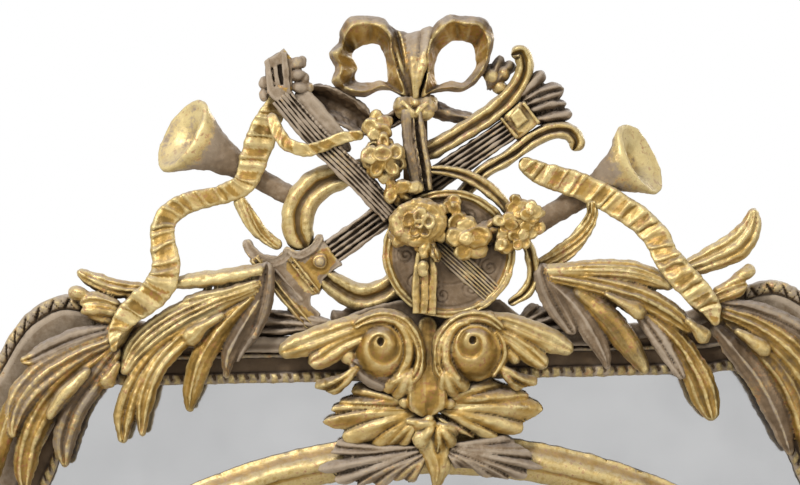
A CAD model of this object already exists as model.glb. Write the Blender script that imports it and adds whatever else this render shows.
# %% [markdown]
# # A tall mirror with a carved and gilded trophy of music
# The real object is a wall mirror in a moulded frame. Its crest is pierced lime wood: a bow of ribbon, a lute,
# a lyre, two horns, roses and sprays of acanthus. Some of it is gilded and worn, and the rest is painted taupe.
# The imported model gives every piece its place. Here each carved piece is modelled again with its flutes,
# pleats and veins, and it replaces the plain solid of the same name.
# Sizes are written in millimetres, measured from the wall plane and the axis of the mirror.

# %% Load the frame of solids
import math

import bpy
import numpy as np
from mathutils import Matrix, Vector, kdtree


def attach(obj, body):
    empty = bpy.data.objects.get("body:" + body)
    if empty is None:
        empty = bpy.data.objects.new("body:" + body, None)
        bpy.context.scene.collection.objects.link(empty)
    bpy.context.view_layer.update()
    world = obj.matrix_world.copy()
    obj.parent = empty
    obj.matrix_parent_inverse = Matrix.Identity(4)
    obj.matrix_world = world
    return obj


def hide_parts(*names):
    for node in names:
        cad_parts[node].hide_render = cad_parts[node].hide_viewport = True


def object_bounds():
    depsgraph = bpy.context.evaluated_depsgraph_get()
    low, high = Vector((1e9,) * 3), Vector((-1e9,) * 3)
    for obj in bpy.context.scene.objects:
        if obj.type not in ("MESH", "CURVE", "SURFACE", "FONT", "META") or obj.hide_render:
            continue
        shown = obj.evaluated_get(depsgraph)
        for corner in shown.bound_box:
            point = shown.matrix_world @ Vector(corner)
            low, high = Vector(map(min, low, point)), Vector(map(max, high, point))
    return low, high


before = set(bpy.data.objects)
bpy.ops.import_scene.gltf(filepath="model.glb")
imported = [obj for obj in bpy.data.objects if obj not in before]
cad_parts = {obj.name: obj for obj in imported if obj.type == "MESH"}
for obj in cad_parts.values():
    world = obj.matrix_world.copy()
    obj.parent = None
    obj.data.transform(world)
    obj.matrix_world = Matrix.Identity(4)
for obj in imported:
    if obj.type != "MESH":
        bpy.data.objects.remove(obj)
cad_box = [list(corner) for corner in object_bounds()]
MM = 0.001
print("solids:", len(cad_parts), "box:", [[round(v, 3) for v in c] for c in cad_box])

# %% [markdown]
# ## The camera
# The photograph looks straight at the crest from some way off, so its outlines hardly converge. A long lens at
# 4.5 m gives the same flat view. The picture is turned by a little more than one degree: level mouldings rise
# towards the right, and the camera takes that roll.

# %% Camera
VIEW_WIDTH = 920 * MM  # width of the crest that the picture takes in
VIEW_CENTRE = Vector((-19.6, -50, 129.1)) * MM
CAMERA_DISTANCE = 4.5
CAMERA_ROLL = math.radians(-1.22)

camera_data = bpy.data.cameras.new("camera")
camera_data.sensor_width = 36
camera_data.lens = camera_data.sensor_width * CAMERA_DISTANCE / VIEW_WIDTH
camera = bpy.data.objects.new("camera", camera_data)
camera.matrix_world = (
    Matrix.Translation(VIEW_CENTRE + Vector((0, -CAMERA_DISTANCE, 0)))
    @ Matrix.Rotation(math.radians(90), 4, "X")
    @ Matrix.Rotation(CAMERA_ROLL, 4, "Z")
)
bpy.context.scene.collection.objects.link(camera)
bpy.context.scene.camera = camera
bpy.context.scene.view_settings.view_transform = "Standard"
print("lens", round(camera_data.lens), "mm")

# %% [markdown]
# ## Floor, light and background
# A mirror like this is photographed in soft light on white. A large lamp at the upper left, a weak one at the
# right, one behind and an even pale sky do that. The sky is full white only for the camera and for what glass
# and gilding reflect, so it doesn't light the object harder.

# %% Floor, lamps and sky
CREST = (0, 0, 0.1)  # what every lamp points at, in metres like all of this cell
LAMPS = {  # place, width, watts
    "window_lamp": ((-2.4, -3.4, 3.4), 1.3, 176),
    "fill_lamp": ((3.2, -3.4, 0.6), 2.4, 22),
    "back_lamp": ((2.0, 4.0, 2.0), 2.0, 60),
}
SKY_LEVEL = 0.36
FLOOR_SIZE, FLOOR_GAP = 30, 0.002
FLOOR_PAINT = (0.80, 0.79, 0.78, 1)


def floor_plane():
    bpy.ops.mesh.primitive_plane_add(size=FLOOR_SIZE, location=(0, 0, cad_box[0][2] - FLOOR_GAP))
    plane = bpy.context.object
    plane.name = "floor"
    bpy.ops.object.transform_apply(location=True, rotation=True, scale=True)
    paint = bpy.data.materials.new("pale_floor")
    paint.use_nodes = True
    surface = paint.node_tree.nodes["Principled BSDF"]
    surface.inputs["Base Color"].default_value = FLOOR_PAINT
    surface.inputs["Roughness"].default_value = 0.9
    plane.data.materials.append(paint)


def area_lamp(name, place, size, power):
    lamp = bpy.data.lights.new(name, "AREA")
    lamp.shape = "DISK"
    lamp.size = size
    lamp.energy = power
    holder = bpy.data.objects.new(name, lamp)
    holder.location = place
    holder.rotation_euler = (Vector(CREST) - Vector(place)).to_track_quat("-Z", "Y").to_euler()
    bpy.context.scene.collection.objects.link(holder)


def white_sky(level):
    world = bpy.data.worlds.new("sky")
    bpy.context.scene.world = world
    world.use_nodes = True
    nodes, links = world.node_tree.nodes, world.node_tree.links
    ray = nodes.new("ShaderNodeLightPath")
    seen = ray.outputs["Is Camera Ray"]
    for kind in ("Is Glossy Ray", "Is Transmission Ray"):
        either = nodes.new("ShaderNodeMath")
        either.operation = "MAXIMUM"
        links.new(seen, either.inputs[0])
        links.new(ray.outputs[kind], either.inputs[1])
        seen = either.outputs[0]
    strength = nodes.new("ShaderNodeMapRange")
    strength.inputs["To Min"].default_value = level
    strength.inputs["To Max"].default_value = 1.0
    links.new(seen, strength.inputs["Value"])
    links.new(strength.outputs["Result"], nodes["Background"].inputs["Strength"])
    nodes["Background"].inputs["Color"].default_value = (1, 1, 1, 1)


floor_plane()
for name, (place, size, power) in LAMPS.items():
    area_lamp(name, place, size, power)
white_sky(SKY_LEVEL)

# %% [markdown]
# ## Carving tools
# A carver draws each leaf or ribbon as a line on the board, gives it a width, and cuts one section along it.
# `strip` does the same: hand-set stations, a smooth line through them, and a section swept along. The result
# is a list of corners and faces, so a whole spray of leaves can be gathered before it becomes one object.

# %% Smooth lines through stations
FACE = 58.5  # front of the frame, where most of the carving is laid


def smooth_line(rows, knots, at):
    """Rows of a smooth line through the given rows, at the places `at` on the scale of their knots."""
    slopes = np.gradient(rows, knots, axis=0)
    i = np.clip(np.searchsorted(knots, at, side="right") - 1, 0, len(rows) - 2)
    span = (knots[i + 1] - knots[i])[:, None]
    s = (at - knots[i])[:, None] / span
    return ((2 * s**3 - 3 * s**2 + 1) * rows[i] + (s**3 - 2 * s**2 + s) * span * slopes[i]
            + (3 * s**2 - 2 * s**3) * rows[i + 1] + (s**3 - s**2) * span * slopes[i + 1])


def flow(stations, back, thick, pace):
    """Stations [x, z, width, back, thick] resampled along a smooth line, about one per `pace` millimetres.
    A station that leaves out its back or its thickness takes the common one."""
    rows = np.array([list(s) + [back, thick][len(s) - 3:] for s in stations], float)
    gaps = np.hypot(*np.diff(rows[:, :2], axis=0).T)
    knots = np.concatenate([[0], np.cumsum(np.sqrt(gaps))])
    steps = max(6, round(gaps.sum() / pace))
    return smooth_line(rows, knots, np.linspace(0, knots[-1], steps + 1))


def distances(run):
    """Way gone along the line at every row, in millimetres."""
    return np.concatenate([[0], np.cumsum(np.hypot(*np.diff(run[:, :2], axis=0).T))])


def round_ends(run):
    """Narrow the first and the last few stations, so that each end is rounded off as wide as it is."""
    gone = distances(run)
    for reach, place in ((run[0, 2] / 2, gone), (run[-1, 2] / 2, gone[-1] - gone)):
        near = np.clip(place / max(reach, 0.1), 0.02, 1)
        share = np.sqrt(near * (2 - near))
        run[:, 2] *= share
        run[:, 4] *= 0.45 + 0.55 * share
    return run


def beside(run, side):
    """The points [x, z] that lie `side` millimetres to the left of the line at every row."""
    ahead = np.gradient(run[:, :2], axis=0)
    ahead /= np.hypot(*ahead.T)[:, None]
    return run[:, 0:1] - ahead[:, 1:2] * side, run[:, 1:2] + ahead[:, 0:1] * side


def smoothstep(value, low, high):
    """0 below one limit and 1 beyond the other, eased between them. `low` may be the higher one."""
    share = np.clip((value - low) / (high - low), 0, 1)
    return share * share * (3 - 2 * share)


# %% [markdown]
# Sections are drawn across from -1 to 1 and forward from 0 to 1. A blade has hollow flutes between sharp
# ribs, a pipe is round, and a band is flat with soft edges.

# %% Sections
def blade(flutes, depth=0.34):
    """A leaf seen end on: ribs and flutes over a crowned front, and a flat back."""
    u = np.linspace(-1, 1, 8 * flutes + 1)
    edge = 0.42  # height of the leaf's edge
    crowned = edge + (1 - edge) * (1 - np.abs(u) ** 2.4)
    fluted = 1 - depth * (0.5 + 0.5 * np.cos(math.pi * flutes * (u + 1))) ** 1.5
    front = np.stack([u, crowned * fluted], 1)
    return np.concatenate([front, [[0.86, 0.02], [0.4, 0.06], [-0.4, 0.06], [-0.86, 0.02]]])


def pipe(sides, lobes, depth):
    """A round bar with shallow grooves between its lobes."""
    angle = np.linspace(0, 2 * math.pi, sides, endpoint=False)
    reach = 1 - depth * (0.5 + 0.5 * np.cos(lobes * angle))
    return np.stack([reach * np.cos(angle + math.pi), 0.5 + 0.5 * reach * np.sin(angle)], 1)


def band(sides, curl=0.0):
    """A flat ribbon with rounded edges; `curl` dishes its middle."""
    u = np.linspace(-1, 1, sides)
    front = np.stack([u, 1 - 0.35 * np.abs(u) ** 8 - curl * (1 - u * u)], 1)
    return np.concatenate([front, [[0.94, 0.1], [0, 0.0], [-0.94, 0.1]]])


def profile(points):
    """A section given by its front line; its back is flat."""
    front = np.array(points, float)
    return np.concatenate([front, [[0.9 * front[-1, 0], 0.0], [0.9 * front[0, 0], 0.0]]])


# %% [markdown]
# Each shell keeps two painted values beside its corners: how much of it was gilded, and a shade that differs
# from leaf to leaf. They stay with the surface when leaves are grown together.

# %% Sweeping a section along a line
def grid_faces(rows, columns, closed=False):
    """Faces of a tube of rows. A closed one meets its own start, and any other is capped at both ends."""
    faces = []
    for i in range(rows if closed else rows - 1):
        here, there = i * columns, ((i + 1) % rows) * columns
        for k in range(columns):
            m = (k + 1) % columns
            faces.append((here + k, here + m, there + m, there + k))
    if not closed:
        faces.append(tuple(range(columns))[::-1])
        faces.append(tuple((rows - 1) * columns + k for k in range(columns)))
    return faces


def shell(x, front, z, faces, gilt, tone):
    """Corners in metres, their faces and the two painted values."""
    corners = np.stack([x, -front, z], -1).reshape(-1, 3) * MM
    marks = [np.broadcast_to(np.asarray(v, float), x.shape).reshape(-1) for v in (gilt, tone)]
    return corners, faces, marks[0], marks[1]


def streaks(t, u, seed):
    """Long streaks of lighter and darker leaf: `t` runs along the piece and `u` across it."""
    phase = (abs(seed) * 0.37) % 6.28
    broad = 0.13 * np.sin(6 * u + phase + 1.6 * np.sin(4 * t + phase))
    return broad + 0.08 * np.sin(15 * u + 5 * t + 2 * phase) + 0.07 * np.sin(9 * t + 2 * u + 3 * phase)


def strip(stations, section, back=FACE, thick=18, lift=0, roll=0, gilt=1.0, tone=0.5,
          relief=None, pace=2.5, closed_ends=True, grooves=0):
    """Sweep a section along its stations. `lift` bows the middle forward, and `roll` tips the section to one
    side. `relief` is cut into the front, and `grooves` of a ribbed leaf fade out where it gets narrow."""
    run = flow(stations, back, thick, pace)
    if closed_ends:
        run = round_ends(run)
    gone = distances(run)
    u, f = section[:, 0][None, :], section[:, 1][None, :]
    t = (gone / gone[-1])[:, None]
    if grooves:
        plain = np.where(f > 0.15, 0.4 + 0.6 * (1 - np.abs(u) ** 2.6), f)
        f = plain + (f - plain) * smoothstep(run[:, 2:3] / grooves, 3.0, 6.5)
    x, z = beside(run, u * run[:, 2:3] / 2)
    front = run[:, 3:4] + f * run[:, 4:5] + lift * np.sin(math.pi * t) + roll * u * np.sin(math.pi * t) ** 0.5
    if relief is not None:
        front = front + relief(gone[:, None], u, t) * (f > 0.15)
    marks = [v(t, u) if callable(v) else v for v in (gilt, tone)]
    return shell(x, front, z, grid_faces(len(run), section.shape[0]), marks[0],
                 marks[1] + streaks(t, u, x[0, 0]))


def turned(x, z, radius, back, front, outline, sides=48, flat=1.0, gilt=1.0, tone=0.5):
    """A turned form [radius share, depth share], from the middle of its back to the middle of its front."""
    rows = np.array(outline, float)
    angle = np.linspace(0, 2 * math.pi, sides, endpoint=False)[None, :]
    reach = radius * rows[:, 0:1]
    depth = back + (front - back) * rows[:, 1:2] + 0 * angle
    return shell(x + reach * np.cos(angle), depth, z + flat * reach * np.sin(angle),
                 grid_faces(len(rows), sides), gilt, tone)


def ball(x, z, rx, rz, back, front, gilt=1.0, tone=0.5, sides=20):
    """An oval knob of half width `rx` and half height `rz`."""
    angle = np.linspace(0.06, math.pi - 0.06, 12)
    outline = np.stack([np.sin(angle), 0.5 - 0.5 * np.cos(angle)], 1)
    return turned(x, z, rx, back, front, outline, sides=sides, flat=rz / rx, gilt=gilt, tone=tone)


# %% [markdown]
# Broad leaves open like a fan from one root. Their surface runs out to a scalloped edge, with a furrow between
# every two lobes. Petals are small cups whose rim stands up round a hollow.

# %% Fans and cups
def lobed(root, tips, back=FACE, thick=16, notch=0.80, lift=4, bow=0.0, vein=0.10, furrow=0.42, rim=0.34,
          side=0.5, gilt=1.0, tone=0.6, start=0.10):
    """A broad leaf from its root to the tips [x, z] of its lobes, which follow each other round the root."""
    root, tips = np.array(root, float), np.array(tips, float)
    count, way = len(tips), np.array(tips, float) - root
    turn, reach = np.unwrap(np.arctan2(way[:, 1], way[:, 0])), np.hypot(*way.T)
    s = np.linspace(0, count, 18 * count + 1)
    near = np.clip(s - 0.5, 0, count - 1)
    if count > 1:
        before = np.where(s < 0.5, (s - 0.5) * (turn[1] - turn[0]), 0)
        after = np.where(s > count - 0.5, (s - count + 0.5) * (turn[-1] - turn[-2]), 0)
        turn = np.interp(near, range(count), turn) + before + after
    part = np.where(s >= count, 1.0, s % 1)
    edge = np.interp(near, range(count), reach) * (notch + (1 - notch) * np.sin(math.pi * part) ** 0.55)
    t = np.concatenate([np.linspace(start, 0.86, 30), [0.90, 0.94, 0.97, 0.99, 1.0]])[:, None]
    angle = turn[None] + bow * np.sin(math.pi * t)
    x, z = root[0] + t * edge * np.cos(angle), root[1] + t * edge * np.sin(angle)
    inner = (s > 0.5) & (s < count - 0.5)
    width = t * edge * np.abs(np.gradient(turn, s)) if count > 1 else 20 + 0 * t * edge
    off_middle = (np.abs(2 * part - 1) ** 2.0)[None]
    pillow = 1 - furrow * smoothstep(t, 0.15, 0.85) * smoothstep(width, 3, 12) * off_middle
    between = np.exp(-((np.minimum(part, 1 - part) / 0.11) ** 2))[None]
    crease = 1 - 0.5 * furrow * between * inner * smoothstep(width, 7, 15)
    mid = vein * (np.exp(-(((part - 0.5) / 0.12) ** 2)))[None] * smoothstep(width, 8, 15) * (1 - t)
    round_tip = rim + (1 - rim) * np.sqrt(np.clip(1 - t**9, 0, 1))
    fall = 1 - side * np.abs(2 * s / count - 1)[None] ** 6
    height = (0.62 + 0.38 * np.sin(math.pi * t**0.8)) * pillow * crease * round_tip * fall + mid
    front = back + thick * height + lift * np.sin(math.pi * t)
    behind = back + 0 * front + 0.6 * lift * np.sin(math.pi * t)
    joined = [np.concatenate([a, b[:, ::-1]], 1) for a, b in ((x, x), (front, behind), (z, z))]
    marks = [v(t, 2 * s / count - 1) if callable(v) else v + 0 * x for v in (gilt, tone)]
    marks[1] = marks[1] + streaks(t, 0.6 * (s - 0.5 * count)[None], root[0])
    marks = [np.concatenate([m, m[:, ::-1]], 1) for m in marks]
    return shell(*joined, grid_faces(len(t), joined[0].shape[1]), *marks)


CUP = [[0.0, 0.0], [0.75, 0.0], [0.95, 0.28], [1.0, 0.58], [0.94, 0.86], [0.80, 0.99], [0.64, 1.0],
       [0.46, 0.93], [0.26, 0.86], [0.02, 0.83]]


def petal(x, z, along, across, turn, back, front, lean=0.0, hollow=1.0, gilt=1.0, tone=0.6):
    """A cupped petal that points along `turn`, in degrees; `lean` raises its tip and drops its root."""
    reach, share = np.array(CUP, float).T[..., None]
    share = np.where(reach < 0.8, share + (1 - hollow) * (1 - share) * (share > 0.1), share)
    a = np.linspace(0, 2 * math.pi, 26, endpoint=False)[None]
    u, v = along * reach * np.cos(a), across * reach * np.sin(a)
    c, s = math.cos(math.radians(turn)), math.sin(math.radians(turn))
    depth = back + (front - back) * (share + 0 * a) + lean * reach * np.cos(a) * (share > 0.1)
    return shell(x + u * c - v * s, depth, z + u * s + v * c, grid_faces(len(CUP), 26), gilt, tone)


# %% [markdown]
# A carver cuts a spray from one board, so its leaves run into each other. The shells are gathered, and a voxel
# remesh grows them together with a grain of under two millimetres. One pass of smoothing takes the steps of the
# grain off. The painted values are then looked up from the nearest corner of the shells, the depth of every
# groove is measured, and the whole surface trembles a little, as hand work does.

# %% Growing shells together
GRAIN = 1.6 * MM
FINE_GRAIN = 0.75 * GRAIN  # for flowers
MARGIN = 0.2 * MM  # kept free inside the box of the solids


def gather(name, shells):
    """One object out of many shells, with every face turned outwards."""
    corners = np.concatenate([s[0] for s in shells])
    faces, first = [], 0
    for s in shells:
        faces += [tuple(first + k for k in face) for face in s[1]]
        first += len(s[0])
    mesh = bpy.data.meshes.new(name)
    mesh.from_pydata(corners.tolist(), [], faces)
    piece = bpy.data.objects.new(name, mesh)
    bpy.context.scene.collection.objects.link(piece)
    bpy.ops.object.select_all(action="DESELECT")
    bpy.context.view_layer.objects.active = piece
    piece.select_set(True)
    bpy.ops.object.mode_set(mode="EDIT")
    bpy.ops.mesh.select_all(action="SELECT")
    bpy.ops.mesh.normals_make_consistent(inside=False)
    bpy.ops.object.mode_set(mode="OBJECT")
    marks = np.stack([np.concatenate([s[2] for s in shells]), np.concatenate([s[3] for s in shells])], 1)
    return piece, corners, marks


def corner_array(mesh, field="co"):
    """Places of all corners, or their normals, as rows of three."""
    values = np.empty(3 * len(mesh.vertices))
    source = mesh.vertices if field == "co" else mesh.vertex_normals
    source.foreach_get("co" if field == "co" else "vector", values)
    return values.reshape(-1, 3)


def set_mark(mesh, name, values):
    mark = mesh.attributes.new(name, "FLOAT", "POINT")
    mark.data.foreach_set("value", np.ascontiguousarray(values, dtype=np.float32))


def relax(values, ends, count, passes):
    """Each corner's value drawn half way to the mean of its neighbours, again and again."""
    share = np.bincount(ends.reshape(-1), minlength=count).clip(1)
    for _ in range(passes):
        for k in range(values.shape[1]):
            near = np.bincount(ends[:, 0], values[ends[:, 1], k], count)
            near += np.bincount(ends[:, 1], values[ends[:, 0], k], count)
            values[:, k] = 0.5 * values[:, k] + 0.5 * near / share
    return values


def mark_hollows(mesh):
    """Depth of every corner below the smoothed surface, in millimetres: above 0 in a groove, below on a rib.
    A little smoothing finds the grooves, and much of it finds the recesses between leaves."""
    place, normal = corner_array(mesh), corner_array(mesh, "normal")
    ends = np.empty(2 * len(mesh.edges), dtype=np.int32)
    mesh.edges.foreach_get("vertices", ends)
    ends = ends.reshape(-1, 2)
    near = relax(place.copy(), ends, len(place), passes=8)
    far = relax(near.copy(), ends, len(place), passes=40)
    set_mark(mesh, "groove", ((near - place) * normal).sum(1) / MM)
    set_mark(mesh, "recess", ((far - place) * normal).sum(1) / MM)


def settle(piece, finish, nodes):
    """Give a finished piece its paint, its place on the body and the solids that it stands for."""
    piece.data.materials.clear()
    piece.data.materials.append(finish)
    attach(piece, "root")
    if nodes:
        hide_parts(*nodes)
    print(piece.name, len(piece.data.vertices), "corners")


def tremor(piece, amount, seed):
    """Move the surface in and out by fractions of a millimetre, as a gouge does: a sum of slow random waves."""
    place, normal = corner_array(piece.data), corner_array(piece.data, "normal")
    rng = np.random.default_rng(seed)
    offset = np.zeros(len(place))
    for length in np.geomspace(6, 36, 22):  # wave lengths in millimetres
        way = rng.normal(size=3)
        way /= np.linalg.norm(way)
        offset += np.sin(place @ way * (2 * math.pi / (length * MM))
                         + rng.uniform(0, 6.28)) * (length / 34) ** 0.5
    place += normal * (offset * amount * MM / 3)[:, None]
    low, high = np.array(cad_box)
    place = np.clip(place, low + MARGIN, high - MARGIN)
    piece.data.vertices.foreach_set("co", place.reshape(-1))
    piece.data.update()


def carve(name, shells, finish, slot, nodes, grain=None, shake=0.6):
    """One carved piece. With no grain its shells stay as they were swept, with crisp edges."""
    piece, corners, marks = gather(name, shells)
    if grain:
        piece.data.remesh_voxel_size = grain
        bpy.ops.object.voxel_remesh()
        soften = piece.modifiers.new("soften", "SMOOTH")
        soften.iterations = 1
        bpy.ops.object.modifier_apply(modifier=soften.name)
        tree = kdtree.KDTree(len(corners))
        for i, corner in enumerate(corners):
            tree.insert(corner, i)
        tree.balance()
        nearest = [tree.find(v.co)[1] for v in piece.data.vertices]
        marks = marks[nearest]
    set_mark(piece.data, "gilt", marks[:, 0])
    set_mark(piece.data, "tone", marks[:, 1])
    mark_hollows(piece.data)
    tremor(piece, shake, seed=len(name))
    piece.data.shade_smooth()
    settle(piece, finish, nodes)

# %% [markdown]
# ## Finishes
# The gilding is old: bright yellow on the ribs, rubbed through to red bole in patches, and brown with dirt in
# the hollows. The rest was painted a warm taupe. Both meet on one board, so one recipe mixes them by the marks
# on the corners. Dust greys whatever looks up. All of it is made of noise in millimetres on the object.

# %% A small kit for node materials
class Paint:
    """A material under the hand: each method adds a node and returns its output."""

    def __init__(self, name):
        self.material = bpy.data.materials.new(name)
        self.material.use_nodes = True
        self.nodes, self.links = self.material.node_tree.nodes, self.material.node_tree.links
        self.surface = self.nodes["Principled BSDF"]
        self.place = self.nodes.new("ShaderNodeTexCoord").outputs["Object"]

    def feed(self, socket, value):
        if isinstance(value, bpy.types.NodeSocket):
            self.links.new(value, socket)
        elif isinstance(value, tuple):
            socket.default_value = (*value, 1)[:len(socket.default_value)]
        else:
            socket.default_value = value

    def noise(self, grain, detail, rough=0.55, stretch=None):
        """Noise whose lumps are `grain` millimetres wide."""
        node = self.nodes.new("ShaderNodeTexNoise")
        node.inputs["Scale"].default_value = 1 / (grain * MM)
        node.inputs["Detail"].default_value = detail
        node.inputs["Roughness"].default_value = rough
        self.feed(node.inputs["Vector"], self.scaled(stretch) if stretch else self.place)
        return node.outputs["Fac"]

    def scaled(self, factors):
        """The place on the object, squeezed along each axis."""
        node = self.nodes.new("ShaderNodeMapping")
        self.feed(node.inputs["Vector"], self.place)
        node.inputs["Scale"].default_value = factors
        return node.outputs["Vector"]

    def mark(self, name):
        """A value painted on the corners: gilt, tone, groove or recess."""
        node = self.nodes.new("ShaderNodeAttribute")
        node.attribute_name = name
        return node.outputs["Fac"]

    def math(self, operation, result, *others):
        """The operation over all values, from left to right."""
        for value in others:
            node = self.nodes.new("ShaderNodeMath")
            node.operation = operation
            self.feed(node.inputs[0], result)
            self.feed(node.inputs[1], value)
            result = node.outputs[0]
        return result

    def plus(self, *values):
        return self.math("ADD", *values)

    def minus(self, *values):
        return self.math("SUBTRACT", *values)

    def times(self, *values):
        return self.math("MULTIPLY", *values)

    def most(self, *values):
        return self.math("MAXIMUM", *values)

    def between(self, value, low, high, to=(0.0, 1.0)):
        """The value's place between two limits, held inside them and eased."""
        node = self.nodes.new("ShaderNodeMapRange")
        node.interpolation_type = "SMOOTHSTEP"
        self.feed(node.inputs["Value"], value)
        for socket, number in zip(("From Min", "From Max", "To Min", "To Max"), (low, high, *to)):
            node.inputs[socket].default_value = number
        return node.outputs["Result"]

    def mix(self, share, a, b):
        """Colour `a` where the share is 0 and colour `b` where it is 1."""
        node = self.nodes.new("ShaderNodeMix")
        node.data_type = "RGBA"
        self.feed(node.inputs[0], share)
        self.feed(node.inputs[6], a)
        self.feed(node.inputs[7], b)
        return node.outputs[2]

    def upward(self):
        """Height of the surface's normal: 1 where it looks up, -1 where it looks down."""
        node = self.nodes.new("ShaderNodeSeparateXYZ")
        self.feed(node.inputs[0], self.nodes.new("ShaderNodeNewGeometry").outputs["Normal"])
        return node.outputs["Z"]

    def openness(self, reach):
        """How freely the room's light gets at the surface, within `reach` millimetres: 0 in a crevice."""
        node = self.nodes.new("ShaderNodeAmbientOcclusion")
        node.samples = 6
        node.inputs["Distance"].default_value = reach * MM
        return node.outputs["AO"]

    def bump(self, height, depth, strength):
        node = self.nodes.new("ShaderNodeBump")
        node.inputs["Strength"].default_value = strength
        node.inputs["Distance"].default_value = depth * MM
        self.feed(node.inputs["Height"], height)
        self.feed(self.surface.inputs["Normal"], node.outputs["Normal"])

    def finish(self, **values):
        for socket, value in values.items():
            self.feed(self.surface.inputs[socket.replace("_", " ")], value)
        return self.material


# %% [markdown]
# Colours are linear. They were judged by eye against the picture: an old gold that runs from olive in the
# shade to cream on the ribs, and a taupe with a little violet in it.

# %% Carved and gilded wood
OLIVE, GOLD, CREAM = (0.20, 0.115, 0.018), (0.46, 0.265, 0.050), (0.82, 0.66, 0.31)
TAUPE_DARK, TAUPE, TAUPE_PALE = (0.108, 0.065, 0.029), (0.268, 0.178, 0.096), (0.54, 0.43, 0.31)
BOLE, DIRT, DUST = (0.42, 0.150, 0.075), (0.032, 0.018, 0.007), (0.50, 0.445, 0.41)


def carved_finish(name, dust):
    """Gilding and paint by the marks of the corners; `dust` is how much of it lies on what looks up."""
    p = Paint(name)
    patches, specks = p.noise(30, 5, 0.6), p.noise(5, 4, 0.6)
    fine = p.noise(1.2, 3, 0.6)
    groove, recess, tone = p.mark("groove"), p.mark("recess"), p.mark("tone")
    relief = p.plus(groove, p.times(recess, 0.45))
    rib = p.between(relief, -0.15, -1.3)
    hollow = p.between(relief, 0.30, 2.4)
    shade = p.plus(p.times(tone, 0.55), p.times(patches, 0.6))
    leaf = p.mix(p.between(shade, 0.42, 0.66), OLIVE, GOLD)
    leaf = p.mix(p.between(shade, 0.58, 0.98), leaf, CREAM)
    leaf = p.mix(p.times(rib, p.between(specks, 0.25, 0.6, (0.15, 0.75))), leaf, CREAM)
    rubbed = p.times(p.between(specks, 0.50, 0.66), p.between(patches, 0.42, 0.64))
    leaf = p.mix(p.times(rubbed, 0.75), leaf, BOLE)
    wood = p.mix(p.between(shade, 0.30, 0.72), TAUPE_DARK, TAUPE)
    wood = p.mix(p.between(p.plus(shade, p.times(specks, 0.4)), 0.72, 1.15), wood, TAUPE_PALE)
    wood = p.mix(p.times(rib, 0.7), wood, TAUPE_PALE)
    gilded = p.plus(p.mark("gilt"), p.times(p.minus(specks, 0.5), 0.7), p.times(p.minus(patches, 0.5), 0.9),
                    p.times(rib, 0.12))
    gilded = p.between(gilded, 0.35, 0.62)
    colour = p.mix(gilded, wood, leaf)
    greyed = p.times(p.between(p.upward(), 0.30, 0.95), p.between(specks, 0.3, 0.62, (0.45, 1.0)))
    colour = p.mix(p.times(greyed, dust), colour, DUST)
    flecks = p.times(p.between(fine, 0.60, 0.72), p.between(specks, 0.40, 0.62), 0.75)
    crevice = p.between(p.plus(p.openness(26), p.times(specks, 0.25)), 0.78, 0.36)
    dirty = p.most(p.times(hollow, 0.75), flecks, p.times(crevice, 0.90))
    colour = p.mix(dirty, colour, DIRT)
    clean = p.minus(1.0, p.most(dirty, greyed))
    p.bump(p.plus(fine, p.times(specks, 1.6)), 0.5, 0.55)
    return p.finish(Base_Color=colour, Metallic=p.times(gilded, clean, 0.45),
                    Roughness=p.between(p.times(gilded, clean), 0.0, 1.0, (0.66, 0.40)))


carved_gilt = carved_finish("old_gilding", dust=0.55)
carved_taupe = carved_finish("taupe_paint", dust=0.42)
print("carved finishes made")


def gilded(name, shells, grain=GRAIN, **options):
    """A carved piece with the gilders' finish, in place of the solid of that name."""
    carve(f"{name}_carved", shells, carved_gilt, "gilt_wood", [name], grain, **options)


def painted(name, shells, grain=GRAIN, **options):
    """The same with the painters' finish."""
    carve(f"{name}_carved", shells, carved_taupe, "painted_wood", [name], grain, **options)


# %% [markdown]
# The mirror glass is old silvering: it reflects a flat light grey, with a faint unevenness. Boards are raw
# pine with lengthwise grain, and the hanging plates are dark iron.

# %% Glass, pine and iron
def silvered_glass():
    p = Paint("silvered_glass")
    haze = p.between(p.noise(160, 3), 0.3, 0.7)
    spots = p.between(p.noise(7, 3), 0.74, 0.80, (0.0, 0.35))
    colour = p.mix(haze, (0.515, 0.518, 0.522), (0.565, 0.567, 0.570))
    return p.finish(Base_Color=p.mix(spots, colour, (0.33, 0.32, 0.31)), Metallic=0.92,
                    Roughness=p.between(p.noise(60, 2), 0.3, 0.7, (0.05, 0.09)))


def pine_wood():
    p = Paint("bare_pine")
    grain = p.noise(5, 6, 0.65, stretch=(1.0, 1.0, 0.045))
    board = p.noise(90, 2)
    colour = p.mix(p.between(grain, 0.32, 0.68), (0.20, 0.115, 0.055), (0.44, 0.29, 0.155))
    colour = p.mix(p.between(board, 0.4, 0.7, (0.0, 0.4)), colour, (0.15, 0.09, 0.05))
    p.bump(grain, 0.6, 0.5)
    return p.finish(Base_Color=colour, Roughness=p.between(grain, 0.3, 0.7, (0.85, 0.66)))


def old_iron():
    p = Paint("old_iron")
    rust = p.between(p.noise(6, 5, 0.65), 0.48, 0.66)
    p.bump(p.noise(2, 4), 0.3, 0.6)
    return p.finish(Base_Color=p.mix(rust, (0.085, 0.078, 0.072), (0.16, 0.075, 0.035)),
                    Metallic=p.minus(0.75, p.times(rust, 0.55)),
                    Roughness=p.between(rust, 0.0, 1.0, (0.45, 0.8)))


glass, pine, iron = silvered_glass(), pine_wood(), old_iron()
CAD_FINISH = {"glass": glass, "mirror_plate": glass, "backboard": pine, "brace": carved_taupe,
              "hanging_plate": iron}
for node_name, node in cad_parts.items():
    for word, finish in CAD_FINISH.items():
        if word in node_name:
            node.data.materials.clear()
            node.data.materials.append(finish)
            print(node_name, "in", finish.name)

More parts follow.
